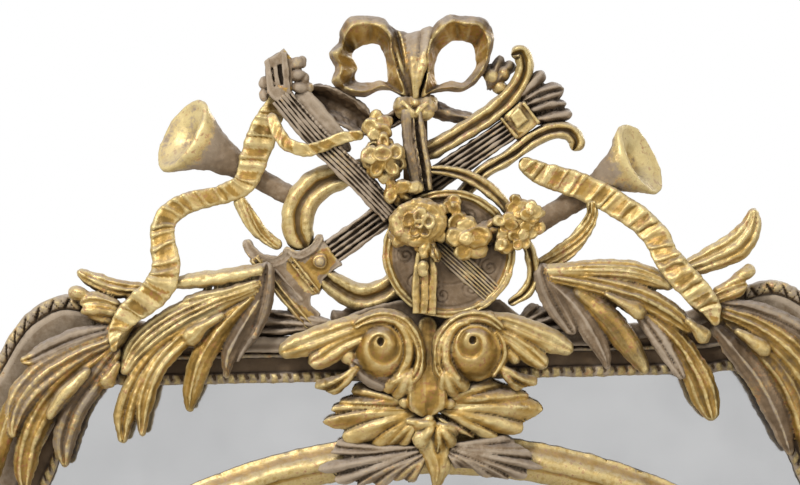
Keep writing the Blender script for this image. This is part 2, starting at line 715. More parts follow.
# %% [markdown]
# ## The outer frame
# A joiner ran the moulding with planes, and a carver cut the two beads along it afterwards. The section is
# swept round the frame here with a row of corners every 1.7 millimetres, and the beads are cut into it by
# sinking corners of those rows. The shoulders swell where the moulding rises beside the crest.

# %% Lines of the outer frame
SIGHT_HALF, OUTER_HALF, SIGHT_BOTTOM, BASE = 477, 575, -1430, -1528
HALF_FRAME = [
    [0, -30, 0, 30], [255, -30, 255, 30], [330, -30, 325, 46], [367, -30, 378, 70], [392, -52, 412, 76],
    [408, -88, 446, 60], [423, -124, 486, 8], [438, -160, 524, -50], [457, -215, 553, -125],
    [471, -275, 570, -215], [477, -335, 575, -320],
]
BEAD_PITCH, ROPE_PITCH = 12.5, 19.0
ROW_PACE = 1.7


def frame_line():
    """Right half of the frame from the axis to the foot, one row [inner x, inner z, outer x, outer z, width]
    every `ROW_PACE` millimetres, and the row number of every station."""
    corner = [SIGHT_HALF, SIGHT_BOTTOM, OUTER_HALF, BASE]
    rows = np.array(HALF_FRAME + [[SIGHT_HALF, -400, OUTER_HALF, -400], corner], float)
    widths = np.hypot(rows[:, 2] - rows[:, 0], rows[:, 3] - rows[:, 1])
    widths[-1] = OUTER_HALF - SIGHT_HALF
    rows = np.concatenate([rows, widths[:, None]], 1)
    gone = distances(rows[:, 2:4])
    marks = np.round(gone / ROW_PACE).astype(int)
    line = smooth_line(rows, gone, np.linspace(0, gone[-1], marks[-1] + 1))
    line[:, 2] = np.minimum(line[:, 2], OUTER_HALF)
    return line, marks


def saw(phase):
    """0 on a whole number, 1 half way between two."""
    return np.abs(((phase + 0.5) % 1) - 0.5) * 2


def bead_relief(gone, across):
    """Small leaves and pairs of berries in turn along the inner bead."""
    leaf = saw(gone / BEAD_PITCH + 0.22 * np.abs(across))
    berry = saw(2 * gone / BEAD_PITCH)
    return -6.0 * smoothstep(leaf, 0.50, 0.92) - 1.8 * smoothstep(berry, 0.5, 1.0) * (np.abs(across) < 0.45)


def rope_relief(gone, across):
    """A wound band of long leaves on the outer bead: slanting cuts, a dip beside each and a fine vein."""
    lump = saw(gone / ROPE_PITCH + 0.30 * across + 0.05 * np.sin(gone / 37))
    vein = saw(2 * gone / ROPE_PITCH - 0.55 * across)
    fine = saw(5 * gone / ROPE_PITCH + 1.3 * across)
    return -6.0 * smoothstep(lump, 0.70, 0.98) - 2.6 * smoothstep(vein, 0.72,
                                                                  1.0) - 0.7 * smoothstep(fine, 0.4, 1.0)


def half_round(s):
    """Height of a half round at the share `s` of its width."""
    return math.sqrt(max(0, 1 - (2 * s - 1) ** 2))


def frame_shell(line, outer_bead=True):
    """The moulding along its rows. Both beads are carved; on the top rail the cove runs out to the edge."""
    width = line[:, 4:5]
    gone, outer_gone = distances(line)[:, None], distances(line[:, 2:4])[:, None]
    flat = np.zeros_like(width)
    columns = []  # (distance from the inner edge, distance in front of the wall)

    def column(distance, front):
        columns.append((flat + distance, flat + front))

    column(0, 18)
    for s in np.linspace(0, 1, 10):
        swell = half_round(s)
        column(13 * s, np.maximum(36.5 + 6.4 * swell + 0.6 * swell * bead_relief(gone, 2 * s - 1), 35))
    for distance, front in ((14, 36.4), (17, 37.2), (28, 37.2), (29.8, 36.8), (30, 41), (33.8, 41), (34.4, 39)):
        column(distance, front)
    for s in np.linspace(0, 1, 12):
        column(35.5 + s * (width - 52.5), np.interp(s, [0, 0.3, 0.6, 0.85, 1], [38, 38.7, 42.6, 48.4, 53]))
    for s in np.linspace(0, 1, 12):
        swell = half_round(s)
        rope = 49.5 + 8.5 * swell + swell * rope_relief(outer_gone, 2 * s - 1)
        column(width - 16 + 16 * s, rope if outer_bead else 53.5 - 5 * s**4)
    for front in (44, 30, 15, 2):
        column(width, front)
    for distance, front in ((width - 1.5, 0.2), (12, 0.2), (10, 2), (10, 18)):
        column(distance, front)
    away = np.concatenate([d for d, _ in columns], 1)
    front = np.concatenate([f for _, f in columns], 1)
    x = line[:, 0:1] + (line[:, 2:3] - line[:, 0:1]) * away / width
    z = line[:, 1:2] + (line[:, 3:4] - line[:, 1:2]) * away / width
    rope = (away > width - 15.9) & (front > 44) & outer_bead
    bead, fillet, band = away < 13, (away > 29.9) & (away < 34), (away > 13) & (away < 30)
    bare = (front < 36) | ((away >= width) & (front < 44))
    leaf_share = smoothstep(saw(gone / BEAD_PITCH), 0.85, 0.35)
    gilt = np.select([bare, bead, rope, fillet], [0.1, 0.16 + 0.34 * leaf_share, 0.34, 0.3], 0.14)
    tone = np.select([bead, rope, band], [0.06 + 0.2 * leaf_share, 0.36, 0.14], 0.86 if outer_bead else 0.08)
    return shell(x, front, z, grid_faces(len(line), away.shape[1]), gilt, tone)


def flipped(piece):
    """The piece on the other side of the axis."""
    corners, faces, gilt, tone = piece
    return corners * [-1, 1, 1], faces, gilt, tone


# %% [markdown]
# The top rail and the shoulders share one line, cut where the joiner cut it. The left half mirrors the right
# one, so both beads meet at the axis. Stiles and bottom rail are mitred at the foot.

# %% Members of the outer frame
line, marks = frame_line()
rail_end, shoulder_end = marks[3], marks[10]
half_rail = line[:rail_end + 1]
mirror_rows = np.array([-1, 1, -1, 1, 1])
painted("top_rail", [frame_shell(np.concatenate([(half_rail * mirror_rows)[:0:-1], half_rail]), False)],
        grain=None)
shoulder = frame_shell(line[rail_end:shoulder_end + 1])
stile = frame_shell(line[shoulder_end:])
foot = np.linspace(line[-1] * mirror_rows, line[-1], 660)
for side, turn in (("right", lambda piece: piece), ("left", flipped)):
    painted(f"{side}_shoulder", [turn(shoulder)], grain=None)
    painted(f"{side}_stile", [turn(stile)], grain=None)
painted("bottom_rail", [frame_shell(foot)], grain=None)

# %% [markdown]
# ## The inner frame
# A smaller gilt moulding parts the border glasses from the main plate. Its top is a flat arch. Only the
# gilding is worn here, so the section is swept plainly: a fillet, a round nose and a long fall to the glass.

# %% Inner frame
ARCH_TOP, ARCH_RADIUS, INNER_HALF, INNER_WIDTH, INNER_BOTTOM = -93, 700, 397, 46, -1367
REBATE, GLASS_FRONT = 4, 14.2  # depth of the solid's tongue, which stops short on the glass here
INNER_SECTION = [  # [distance from the outer edge, front]
    [0, 18], [0, 30.6], [0.4, 31], [3.6, 31], [4.2, 31.6], [9, 34], [12, 37.6], [15, 40.8], [18, 42.8],
    [21, 43.5], [24, 43.2], [27, 41.6], [29, 38.8], [29.6, 37], [33, 35.6], [38, 33], [42, 30], [44.5, 26.5],
    [46, 24], [46, 18], [31, 18], [31, REBATE], [15, REBATE], [15, 18],
]


def arch_height(radius, x):
    """Height of an arc about the arch's centre."""
    return ARCH_TOP - ARCH_RADIUS + np.sqrt(radius * radius - x * x)


def inner_shell(outer, inner):
    """The section between matching points of the outer and the inner edge."""
    away, front = np.array(INNER_SECTION, float).T
    share = away[None] / INNER_WIDTH
    x = outer[:, 0:1] + (inner[:, 0:1] - outer[:, 0:1]) * share
    z = outer[:, 1:2] + (inner[:, 1:2] - outer[:, 1:2]) * share
    depth = np.where(front == REBATE, GLASS_FRONT, front)[None] + 0 * x
    gilt = np.where(front > 18, 1.0, 0.1)[None] + 0 * x
    return shell(x, depth, z, grid_faces(len(outer), len(away)), gilt, 0.62)


def straight(outer_ends, inner_ends, count):
    """A straight member between the ends of its outer and of its inner edge."""
    return inner_shell(*[np.linspace(*np.array(ends, float), count) for ends in (outer_ends, inner_ends)])


JOINT = 0.3  # left between the arch and its uprights
inner_half, inner_radius = INNER_HALF - INNER_WIDTH, ARCH_RADIUS - INNER_WIDTH
share = np.linspace(-1, 1, 300)
outer_x, inner_x = share * (INNER_HALF - JOINT), share * (inner_half - JOINT)
arch = inner_shell(np.stack([outer_x, arch_height(ARCH_RADIUS, outer_x)], 1),
                   np.stack([inner_x, arch_height(inner_radius, inner_x)], 1))
spring = arch_height(ARCH_RADIUS, INNER_HALF) - JOINT
spring_inner = arch_height(inner_radius, inner_half) - JOINT
upright = straight([[INNER_HALF, spring], [INNER_HALF, INNER_BOTTOM]],
                   [[inner_half, spring_inner], [inner_half, INNER_BOTTOM + INNER_WIDTH]], 300)
level = straight([[-INNER_HALF, INNER_BOTTOM], [INNER_HALF, INNER_BOTTOM]],
                 [[-inner_half, INNER_BOTTOM + INNER_WIDTH], [inner_half, INNER_BOTTOM + INNER_WIDTH]], 260)
for name, piece in (("inner_arch", arch), ("right_inner_stile", upright),
                    ("left_inner_stile", flipped(upright)),
                    ("inner_bottom_rail", level)):
    carve(f"{name}_gilt", [piece], carved_gilt, "gilt_wood", [name])

# %% [markdown]
# ## Sections of leaves
# A leaf is fluted, folded along a groove, raised on one keel, or simply rounded.

# %% Leaf sections
def ribs(count, depth=0.22, rim=0.45, sharp=1.2):
    """Rounded ribs side by side over a crowned leaf. A `sharp` groove between them is a narrow one."""
    u = np.linspace(-1, 1, 12 * count + 1)
    crowned = rim + (1 - rim) * (1 - np.abs(u) ** 2.6)
    groove = (0.5 + 0.5 * np.cos(math.pi * count * (u + 1))) ** sharp
    groove[np.abs(u) > 1 - 0.5 / count] *= 0.3
    front = np.stack([u, crowned * (1 - depth * groove)], 1)
    return np.concatenate([front, [[0.86, 0.02], [0.4, 0.1], [-0.4, 0.1], [-0.86, 0.02]]])


FOLD = profile([
    [-1, 0.50], [-0.92, 0.68], [-0.76, 0.82], [-0.55, 0.92], [-0.34, 0.94], [-0.18, 0.88], [-0.08, 0.78],
    [-0.03, 0.74], [0.05, 0.82], [0.16, 0.92], [0.34, 1.0], [0.58, 0.97], [0.78, 0.84], [0.92, 0.66], [1, 0.46],
])
KEEL = profile([
    [-1, 0.42], [-0.85, 0.56], [-0.6, 0.70], [-0.35, 0.85], [-0.18, 0.96], [-0.06, 1.0], [0.05, 0.93],
    [0.25, 0.84], [0.5, 0.74], [0.75, 0.62], [0.92, 0.50], [1, 0.38],
])
ROLL = profile([
    [-1, 0.28], [-0.92, 0.52], [-0.75, 0.76], [-0.5, 0.93], [-0.2, 1.0], [0.15, 1.0], [0.45, 0.94], [0.7, 0.8],
    [0.9, 0.55], [1, 0.28],
])
RIBBED = {"two": 2, "three": 3, "five": 5}
KINDS = {"fold": FOLD, "keel": KEEL, "roll": ROLL, **{kind: ribs(count) for kind, count in RIBBED.items()}}

# %% [markdown]
# ## The bow
# A wide ribbon, gilded inside and out, was carved as two loops that stand open to the front. Each loop is a
# closed band: its back edge is the outline, its front edge stands forward and turns in to the open throat.
# Folds run across the band where the ribbon is drawn together in the knot.

# %% Bow loops
def round_line(points, count):
    """A smooth closed line through [x, z] points. A few of them are taken twice, so that it closes smoothly."""
    points = np.array(points, float)
    rows = np.concatenate([points[-3:], points, points[:4]])
    gaps = np.hypot(*np.diff(rows, axis=0).T)
    knots = np.concatenate([[0], np.cumsum(np.sqrt(gaps))])
    at = knots[3] + (knots[3 + len(points)] - knots[3]) * np.linspace(0, 1, count, endpoint=False)
    return smooth_line(rows, knots, at)


# Across the band, from the outline to the throat and back behind: [share of the way in, front].
LOOP_SECTION = [
    [0.00, 46], [0.02, 52], [0.08, 57], [0.18, 62.5], [0.27, 66.5], [0.32, 68], [0.36, 67.4], [0.40, 64.5],
    [0.46, 61.5], [0.56, 58], [0.66, 54.5], [0.76, 51], [0.86, 47], [0.94, 43], [1.0, 39], [1.0, 35],
    [0.92, 31], [0.6, 30.3], [0.25, 31], [0.05, 36], [0.0, 41],
]
LOOP_ROWS, LOOP_BACK, LOOP_FRONT = 150, 30.3, 76


def loop(outline, throat, folds):
    """A loop of ribbon. Each fold is [place round the loop, width, height, slant]."""
    count = LOOP_ROWS
    rim, hole = round_line(outline, count), round_line(throat, count)
    share, front = np.array(LOOP_SECTION, float).T
    x = rim[:, 0:1] + (hole[:, 0:1] - rim[:, 0:1]) * share[None]
    z = rim[:, 1:2] + (hole[:, 1:2] - rim[:, 1:2]) * share[None]
    depth = front[None] + 0 * x
    t = np.linspace(0, 1, count, endpoint=False)[:, None]
    shown = smoothstep(front[None], 36, 48)
    for place, width, height, slant in folds:
        away = (t - place - slant * (share[None] - 0.4) + 0.5) % 1 - 0.5
        depth = depth + height * shown * np.exp(-((away / width) ** 2))
    depth = np.clip(depth, LOOP_BACK, LOOP_FRONT)
    gilt = np.where((share[None] < 0.26) & (front[None] > 45), 0.42, 0.95) + 0 * x
    return shell(x, depth, z, grid_faces(count, len(share), closed=True), gilt, 0.5 + 0.2 * np.sin(23 * t))


left_loop = loop([
    [-4, 292], [-13, 325], [-21, 353], [-21, 370], [-30, 384], [-47, 391], [-70, 390], [-82, 377],
    [-86, 361], [-97, 348], [-90, 331], [-94, 315], [-86, 305], [-59, 298], [-33, 306], [-19, 300],
], [
    [-30, 314], [-30, 326], [-33, 344], [-38, 356], [-45, 359], [-53, 359], [-62, 355], [-68, 350],
    [-70, 345], [-68, 340], [-65, 332], [-68, 323], [-65, 316], [-50, 314], [-38, 316], [-32, 314],
], [
    [0.05, 0.02, 4, 0.05], [0.10, 0.015, -6, 0.04], [0.16, 0.018, 4, 0.03], [0.27, 0.02, 3, 0],
    [0.33, 0.018, -5, 0], [0.42, 0.025, 3, 0.03], [0.50, 0.03, -12, -0.03], [0.565, 0.015, 4, 0],
    [0.62, 0.02, -6, 0.02], [0.68, 0.02, 4, 0], [0.735, 0.016, -6, 0], [0.79, 0.02, 4, 0],
    [0.845, 0.016, -5, -0.02], [0.90, 0.02, 4, -0.02], [0.955, 0.014, -6, 0],
])
right_loop = loop([
    [6, 291], [13, 320], [13, 348], [18, 368], [29, 381], [43, 391], [60, 388], [82, 385],
    [92, 370], [93, 353], [86, 332], [75, 314], [57, 302], [42, 302], [25, 301], [13, 297],
], [
    [27, 312], [24, 324], [26, 338], [31, 348], [38, 355], [46, 360], [57, 360], [67, 356],
    [72, 347], [73, 337], [71, 328], [64, 319], [56, 312], [45, 314], [35, 311], [29, 310],
], [
    [0.04, 0.018, 4, -0.05], [0.09, 0.015, -6, -0.04], [0.15, 0.02, 4, -0.02], [0.22, 0.018, -5, 0],
    [0.30, 0.02, 4, 0.02], [0.37, 0.02, -7, 0], [0.43, 0.018, 4, 0], [0.50, 0.02, -6, 0], [0.56, 0.018, 4, 0],
    [0.62, 0.022, -8, 0.02], [0.69, 0.02, 4, 0], [0.75, 0.016, -6, 0], [0.81, 0.02, 4, 0],
    [0.87, 0.015, -5, 0.02], [0.93, 0.02, 4, 0.02],
])
tuft = [
    lobed([85, 300], [[85, 330], [100, 343], [116, 334]], back=26, thick=24, gilt=0.35, tone=0.5, notch=0.86),
    ball(89, 318, 9, 9, 34, 58, gilt=0.5, tone=0.8), ball(99, 305, 9, 8, 30, 54, gilt=0.9, tone=0.7),
    ball(104, 321, 8, 9, 30, 53, gilt=0.4),
]
valley = [
    lobed([1, 281], [[-30, 383], [-12, 370]], back=37, thick=26, lift=3, notch=0.98, furrow=0.5,
          rim=0.5, gilt=0.55, tone=0.3, vein=0.0, side=0.2),
    lobed([0, 281], [[0, 370], [20, 377]], back=40, thick=27, lift=4, notch=0.98, furrow=0.14,
          rim=0.5, gilt=lambda t, u: 0.78 - 0.55 * t + 0 * u, tone=0.8, vein=0.0, side=0.1),
]
gilded("bow_left_loop", [left_loop, *valley])
gilded("bow_right_loop", [right_loop, *tuft])

# %% [markdown]
# The knot is two rounded lobes pinched together. Two ends leave it sideways behind the lute and the lyre,
# dark and thinly gilded, and the two long tails fall over the trophy with deep lengthwise flutes.

# %% Knot and tails
def toothed(count, depth=0.5, gap=0.34):
    """A flat band cut into `count` bars by narrow grooves."""
    front = []
    for i in range(count):
        left, pitch = -1 + 2 * i / count, 2 / count
        edge = pitch * gap / 2
        front += [[left + 0.2 * edge, 1 - depth], [left + edge, 1 - 0.12 * depth], [left + pitch / 2, 1],
                  [left + pitch - edge, 1 - 0.12 * depth], [left + pitch - 0.2 * edge, 1 - depth]]
    return profile(front)


gilded("bow_knot", [
    ball(-13, 287, 12, 11, 40, 72, gilt=0.5, tone=0.7), ball(15, 287, 12, 11, 40, 72, gilt=0.4, tone=0.7),
    ball(-11, 278, 10, 8, 44, 73, gilt=0.75, tone=0.8), ball(11, 277, 10, 8, 44, 73, gilt=0.6, tone=0.8),
    ball(1, 288, 13, 12, 17, 71, gilt=0.6, tone=0.7), ball(-2, 275, 16, 7, 44, 74, gilt=0.8, tone=0.7),
    strip([[-16, 292, 5, 62, 10], [-7, 284, 6, 64, 10], [0, 274, 5, 66, 9]], band(9), tone=0.8, gilt=0.7),
    strip([[18, 291, 5, 62, 10], [9, 283, 6, 64, 10], [1, 274, 5, 66, 9]], band(9), tone=0.8, gilt=0.7),
    strip([
        [-12, 279, 16], [-30, 268, 16], [-54, 266, 26], [-76, 280, 38], [-104, 295, 36], [-126, 305, 16],
    ], profile([[-1, 0.9], [-0.85, 1], [-0.7, 0.85], [-0.5, 0.35], [-0.2, 0.15], [0.2, 0.2], [0.5, 0.55],
                [0.75, 0.9], [0.9, 0.95], [1, 0.7]]), back=24, thick=27, lift=2, gilt=0.2, tone=0.35),
    strip([[11, 288, 18], [36, 278, 18], [68, 269, 10]], blade(1), back=22, thick=26, gilt=0.3, tone=0.3),
], shake=1.2)
gilded("bow_tails", [
    strip([[-3, 281, 24], [-1, 247, 28], [4, 214, 27], [8, 187, 22]], profile([
        [-1, 0.35], [-0.96, 0.8], [-0.8, 0.95], [-0.45, 1], [-0.12, 0.92], [-0.05, 0.7], [0.0, 0.66],
        [0.05, 0.8], [0.14, 0.9], [0.22, 0.5], [0.28, 0.25], [0.42, 0.25], [0.48, 0.6], [0.58, 0.95],
        [0.8, 0.98], [0.95, 0.8], [1, 0.3]]), thick=17, gilt=0.36, tone=0.55, closed_ends=False),
])
gilded("bow_tail_end", [
    strip([[8, 118, 18], [8, 91, 28], [6, 47, 28]], toothed(3, 0.30, 0.22), back=77, thick=13, gilt=0.62,
          tone=0.5, closed_ends=False),
])

# %% [markdown]
# ## The lute
# A shallow round body in taupe paint, edged by a double gilt rim, with scrolls cut into its face. Seven
# strings cross it to a bridge. The neck is a ridged bar, and the pegbox is open between its cheeks, with
# blocky pegs at both sides.

# %% Lute body
def prism(outline, back, front, gilt=0.1, tone=0.5, inset=1.2):
    """A sawn piece with its front edge eased. It stands closed, from the back face to the front one."""
    points = np.array(outline, float)
    middle = points.mean(0)
    shrunk = middle + (points - middle) * (1 - inset / np.hypot(*(points - middle).T).mean())
    rows = [points, points, shrunk]
    x = np.stack([r[:, 0] for r in rows])
    z = np.stack([r[:, 1] for r in rows])
    depth = np.array([[back], [front - inset], [front]]) + 0 * x
    return shell(x, depth, z, grid_faces(3, len(points)), gilt, tone)


LUTE_X, LUTE_Z = 36, 115
FACE_RINGS, SPOKES, SCROLLS, SCROLL_REACH = 46, 260, 9, 49


def lute_shell():
    """Rings of corners from the middle of the face over the double rim and down the side."""
    rings = np.concatenate([np.linspace(4, 64, FACE_RINGS),
                            [66, 67.5, 69, 70.5, 72, 73.5, 75, 75.8, 76, 76, 72, 40, 4]])
    rim = [75.2, 77.6, 78.8, 77.6, 76.8, 78.6, 78.8, 77, 74, 66, 59, 58.6, 58.6]
    heights = np.concatenate([np.full(FACE_RINGS, 75.0), rim])
    angle = np.linspace(0, 2 * math.pi, SPOKES, endpoint=False)[None]
    on_face = np.arange(len(rings))[:, None] < FACE_RINGS
    radius = rings[:, None] + 0 * angle
    scrolls = np.zeros_like(radius)
    shown = (radius > 34) & (radius < 62) & on_face
    for i in range(SCROLLS):
        turn = 2 * math.pi * (i + 0.5) / SCROLLS
        dx = radius * np.cos(angle) - SCROLL_REACH * math.cos(turn)
        dz = radius * np.sin(angle) - SCROLL_REACH * math.sin(turn)
        away = np.hypot(dx, dz)
        curl = np.cos(away * 2 * math.pi / 6.4 - (1 if i % 2 else -1) * np.arctan2(dz, dx))
        scrolls = np.maximum(scrolls, smoothstep(curl, 0.35, 0.9) * smoothstep(away, 11.5, 9.5))
    ring = smoothstep(np.abs(radius - 35.5), 1.2, 0.5) + smoothstep(np.abs(radius - 62), 1.2, 0.5)
    depth = heights[:, None] - 1.5 * scrolls * shown - 1.2 * ring * on_face
    gilt = np.where((radius > 65.5) & (heights[:, None] > 70), 0.7, 0.12)
    return shell(LUTE_X + radius * np.cos(angle), depth, LUTE_Z + 0.97 * radius * np.sin(angle),
                 grid_faces(len(rings), SPOKES), gilt, 0.45)


painted("lute_body", [lute_shell()], grain=None)
carve("lute_strings", [
    strip([[22, 128, 26], [56, 96, 26], [85, 68, 25]], toothed(7, 0.75, 0.45), back=73.5, thick=5, gilt=0.34,
          tone=0.6, closed_ends=False, pace=1.5),
    strip([[69, 55, 5], [85, 64, 6], [99, 80, 5], [103, 93, 4]], band(9), back=73.5, thick=5.4, gilt=0.42,
          tone=0.6),
], carved_taupe, "painted_wood", [])

# %% Lute neck and pegbox
def worm_holes(depth, where, wave, limit):
    """Cuts where the wood is eaten: on the given strip, wherever the wave stands above the limit."""
    return depth * where * (np.sin(wave) > limit)


painted("lute_neck", [
    strip([[-152, 299, 26], [-110, 248, 28], [-69, 206, 27], [-28, 162, 26]], toothed(6, 0.30, 0.42),
          thick=19.4, gilt=0.2, tone=0.62, closed_ends=False, pace=1.5,
          relief=lambda s, u, t: worm_holes(-2.0, u > 0.68, s * 1.1 + 2 * np.sin(s * 0.31), -0.1)),
    strip([[-134, 305, 24], [-111, 275, 26], [-89, 252, 20], [-75, 234, 8]], band(11, 0.3), thick=15, tone=0.85,
          gilt=0.1, relief=lambda s, u, t: worm_holes(-1.6, (u < -0.2) & (u > -0.75),
                                                      s * 0.9 + 3 * np.sin(s * 0.23), 0.2)),
], grain=None)
painted("lute_pegbox", [
    prism([[-170, 339], [-165, 343], [-158, 294], [-168, 305]], 58.6, 77.5, tone=0.6),
    prism([[-160, 333], [-156, 335], [-151, 296], [-156, 295]], 58.6, 76.5, tone=0.6),
    prism([[-151, 351], [-144, 349], [-141, 303], [-148, 299]], 58.6, 78, tone=0.62),
    prism([[-145, 351], [-140, 345], [-139, 307], [-144, 304]], 58.6, 74, gilt=0.8, tone=0.5),
    prism([[-170, 339], [-148, 354], [-143, 349], [-146, 338], [-168, 331]], 58.6, 76, tone=0.66),
    prism([[-168, 309], [-141, 313], [-141, 301], [-158, 293], [-168, 304]], 58.6, 77.5, tone=0.6),
    prism([[-167, 333], [-144, 342], [-143, 301], [-163, 301]], 58.6, 68.5, tone=0.2),
    ball(-134, 337, 9.5, 7.5, 60, 76, gilt=0.25), ball(-128, 338, 6, 7, 60, 72, gilt=0.2),
    ball(-133, 323, 10, 7, 60, 76, gilt=0.2), ball(-125, 319, 6, 7, 60, 73, gilt=0.3),
    ball(-130, 309, 11, 6.5, 59, 76, gilt=0.2), ball(-120, 309, 6, 6, 59, 73, gilt=0.3),
    ball(-172, 315, 6, 8, 60, 75, gilt=0.1), ball(-172, 301, 5.5, 8, 60, 74, gilt=0.1),
])

# %% [markdown]
# ## Pleated ribbons
# The ribbons were carved in steps: each pleat rises slowly and then drops to the next one. The relief is a
# saw-tooth along the line, slanted across it, and each pleat takes its own shade of gold.

# %% Ribbons
MOST_PLEATS = 200


def pleats(pitch, height, slant, seed):
    """The relief of pleats at a place on the ribbon, their shades, and the number of the pleat there."""
    rng = np.random.default_rng(seed)
    jitter = rng.uniform(-0.9, 0.9, MOST_PLEATS)
    shades = np.where(np.arange(MOST_PLEATS) % 2, 0.42, 0.82) + rng.uniform(-0.16, 0.16, MOST_PLEATS)

    def phase(s, u):
        place = s / pitch + slant * u
        step = np.clip(np.floor(place), 0, MOST_PLEATS - 2).astype(int)
        return place + jitter[step] * 0.5 * np.sin(math.pi * (place % 1)), step

    def relief(s, u):
        rise = phase(s, u)[0] % 1
        crease = 0.14 * height * np.sin(4 * math.pi * rise + 3 * u) * np.sin(math.pi * rise)
        step_up = smoothstep(rise, 0.0, 0.70) - smoothstep(rise, 0.78, 1.0) - 0.6
        return height * step_up * (0.7 + 0.5 * u * u) + crease

    return relief, shades, phase


def ribbon(stations, pitch, height=2.5, slant=0.30, seed=1, thick=8, bulge=0.6):
    """A pleated ribbon through stations [x, z, width, back]. Its edges wave in and out with the pleats."""
    relief, shades, phase = pleats(pitch, height, slant, seed)
    run = round_ends(flow(stations, 0, thick, 1.3))
    gone = distances(run)[:, None]
    section = band(17, 0.10)
    u, f = section[:, 0][None], section[:, 1][None]
    place, step = phase(gone, u)
    wave = 1 + bulge * (0.5 - np.abs((place % 1) - 0.6)) / run[:, 2:3].clip(8) * 2 - 0.03
    x, z = beside(run, u * run[:, 2:3] / 2 * wave)
    faded = smoothstep(gone, 2, 12) * smoothstep(gone[-1] - gone, 0, 8)
    front = run[:, 3:4] + f * run[:, 4:5] + relief(gone, u) * faded * (0.35 + 0.65 * f)
    low = smoothstep(place % 1, 0.78, 0.98)
    return shell(x, front, z, grid_faces(len(run), len(section)), 0.9 - 0.25 * low, shades[step])


LEAF_FRONT = 84  # where the ribbons lie on the leaves
NECK_FRONT = 78.4  # where one lies on the lute's neck
gilded("neck_ribbon", [ribbon([
    [-165, 281, 12, 60], [-158, 261, 15, 70], [-145, 244, 16, NECK_FRONT], [-124, 237, 15, NECK_FRONT],
    [-104, 242, 14, NECK_FRONT], [-80, 251, 13, NECK_FRONT], [-58, 252, 10, NECK_FRONT],
], pitch=24, height=2.2, thick=6, slant=0.2, bulge=0.8)], grain=None)
gilded("left_ribbon", [ribbon([
    [-155, 305, 20, 46], [-162, 285, 27, 46], [-173, 262, 34, 46], [-185, 230, 34, 46], [-199, 200, 27, 47],
    [-223, 189, 23, 50], [-251, 183, 24, 54], [-274, 174, 26, 58], [-288, 160, 28, 62], [-291, 138, 30, 68],
    [-287, 112, 34, 76], [-293, 87, 36, LEAF_FRONT], [-311, 69, 34, LEAF_FRONT + 2],
    [-331, 53, 28, LEAF_FRONT + 2], [-346, 35, 18, LEAF_FRONT + 2], [-349, 12, 6, LEAF_FRONT],
], pitch=14, seed=4)], grain=None)
gilded("left_ribbon_strand", [ribbon([
    [-205, 187, 16, 44], [-195, 166, 18, 44], [-180, 145, 18, 44], [-157, 127, 12, 44],
], pitch=34, height=3, slant=1.5, seed=7, thick=10)], grain=None)
gilded("right_ribbon", [ribbon([
    [120, 221, 14, 46], [141, 207, 26, 46], [168, 197, 30, 46], [200, 185, 31, 46], [229, 168, 31, 50],
    [255, 150, 31, 56], [273, 130, 32, 64], [284, 107, 32, 74], [299, 86, 33, LEAF_FRONT],
    [318, 65, 32, LEAF_FRONT + 2], [333, 47, 24, LEAF_FRONT + 2], [339, 27, 7, LEAF_FRONT],
], pitch=14, seed=11, slant=-0.3)], grain=None)
gilded("right_ribbon_strand", [ribbon([
    [139, 92, 26, 44], [164, 110, 24, 44], [188, 132, 20, 44], [201, 155, 15, 44], [202, 173, 12, 44],
], pitch=40, height=3, slant=1.8, seed=5, thick=12)], grain=None)

# %% [markdown]
# ## The lyre and the hoop
# Two gilt arms with a groove between twin ridges bend out of the base and scroll over at the top. Between
# them runs a harp of five round strings, from the base to a crossbar block. A fan of shell lobes tops it.

# %% Lyre arms, base, strings, crossbar and fan
ARMS_BACK, ARMS_THICK = 38, 20
TWIN = profile([
    [-1, 0.42], [-0.92, 0.66], [-0.76, 0.88], [-0.56, 1.0], [-0.36, 0.9], [-0.18, 0.66], [0.0, 0.56],
    [0.14, 0.66], [0.26, 0.86], [0.45, 0.97], [0.66, 0.93], [0.84, 0.74], [0.95, 0.56], [1, 0.4],
])
HOOP = profile([
    [-1, 0.45], [-0.9, 0.75], [-0.62, 1.0], [-0.34, 0.86], [-0.1, 0.5], [0.06, 0.5], [0.3, 0.84], [0.6, 0.96],
    [0.88, 0.75], [1, 0.45],
])
gilded("lyre_upper_arm", [strip([
    [-127, 124, 28], [-136, 144, 36], [-136, 166, 38], [-127, 185, 38], [-107, 201, 36], [-80, 209, 30],
    [-35, 220, 24], [19, 235, 22], [59, 257, 23], [95, 280, 24], [118, 304, 22], [128, 326, 20],
    [124, 344, 20], [113, 342, 12],
], TWIN, back=ARMS_BACK, thick=ARMS_THICK, tone=0.55, pace=1.8)], grain=None)
gilded("lyre_lower_arm", [strip([
    [-111, 95, 22], [-94, 81, 28], [-67, 67, 32], [-40, 73, 31], [-16, 93, 26], [27, 148, 20],
    [74, 205, 17], [111, 227, 18], [136, 245, 20], [158, 254, 20], [177, 253, 20], [186, 241, 19],
    [182, 231, 15],
], TWIN, back=ARMS_BACK, thick=ARMS_THICK, tone=0.5, pace=1.8)], grain=None)
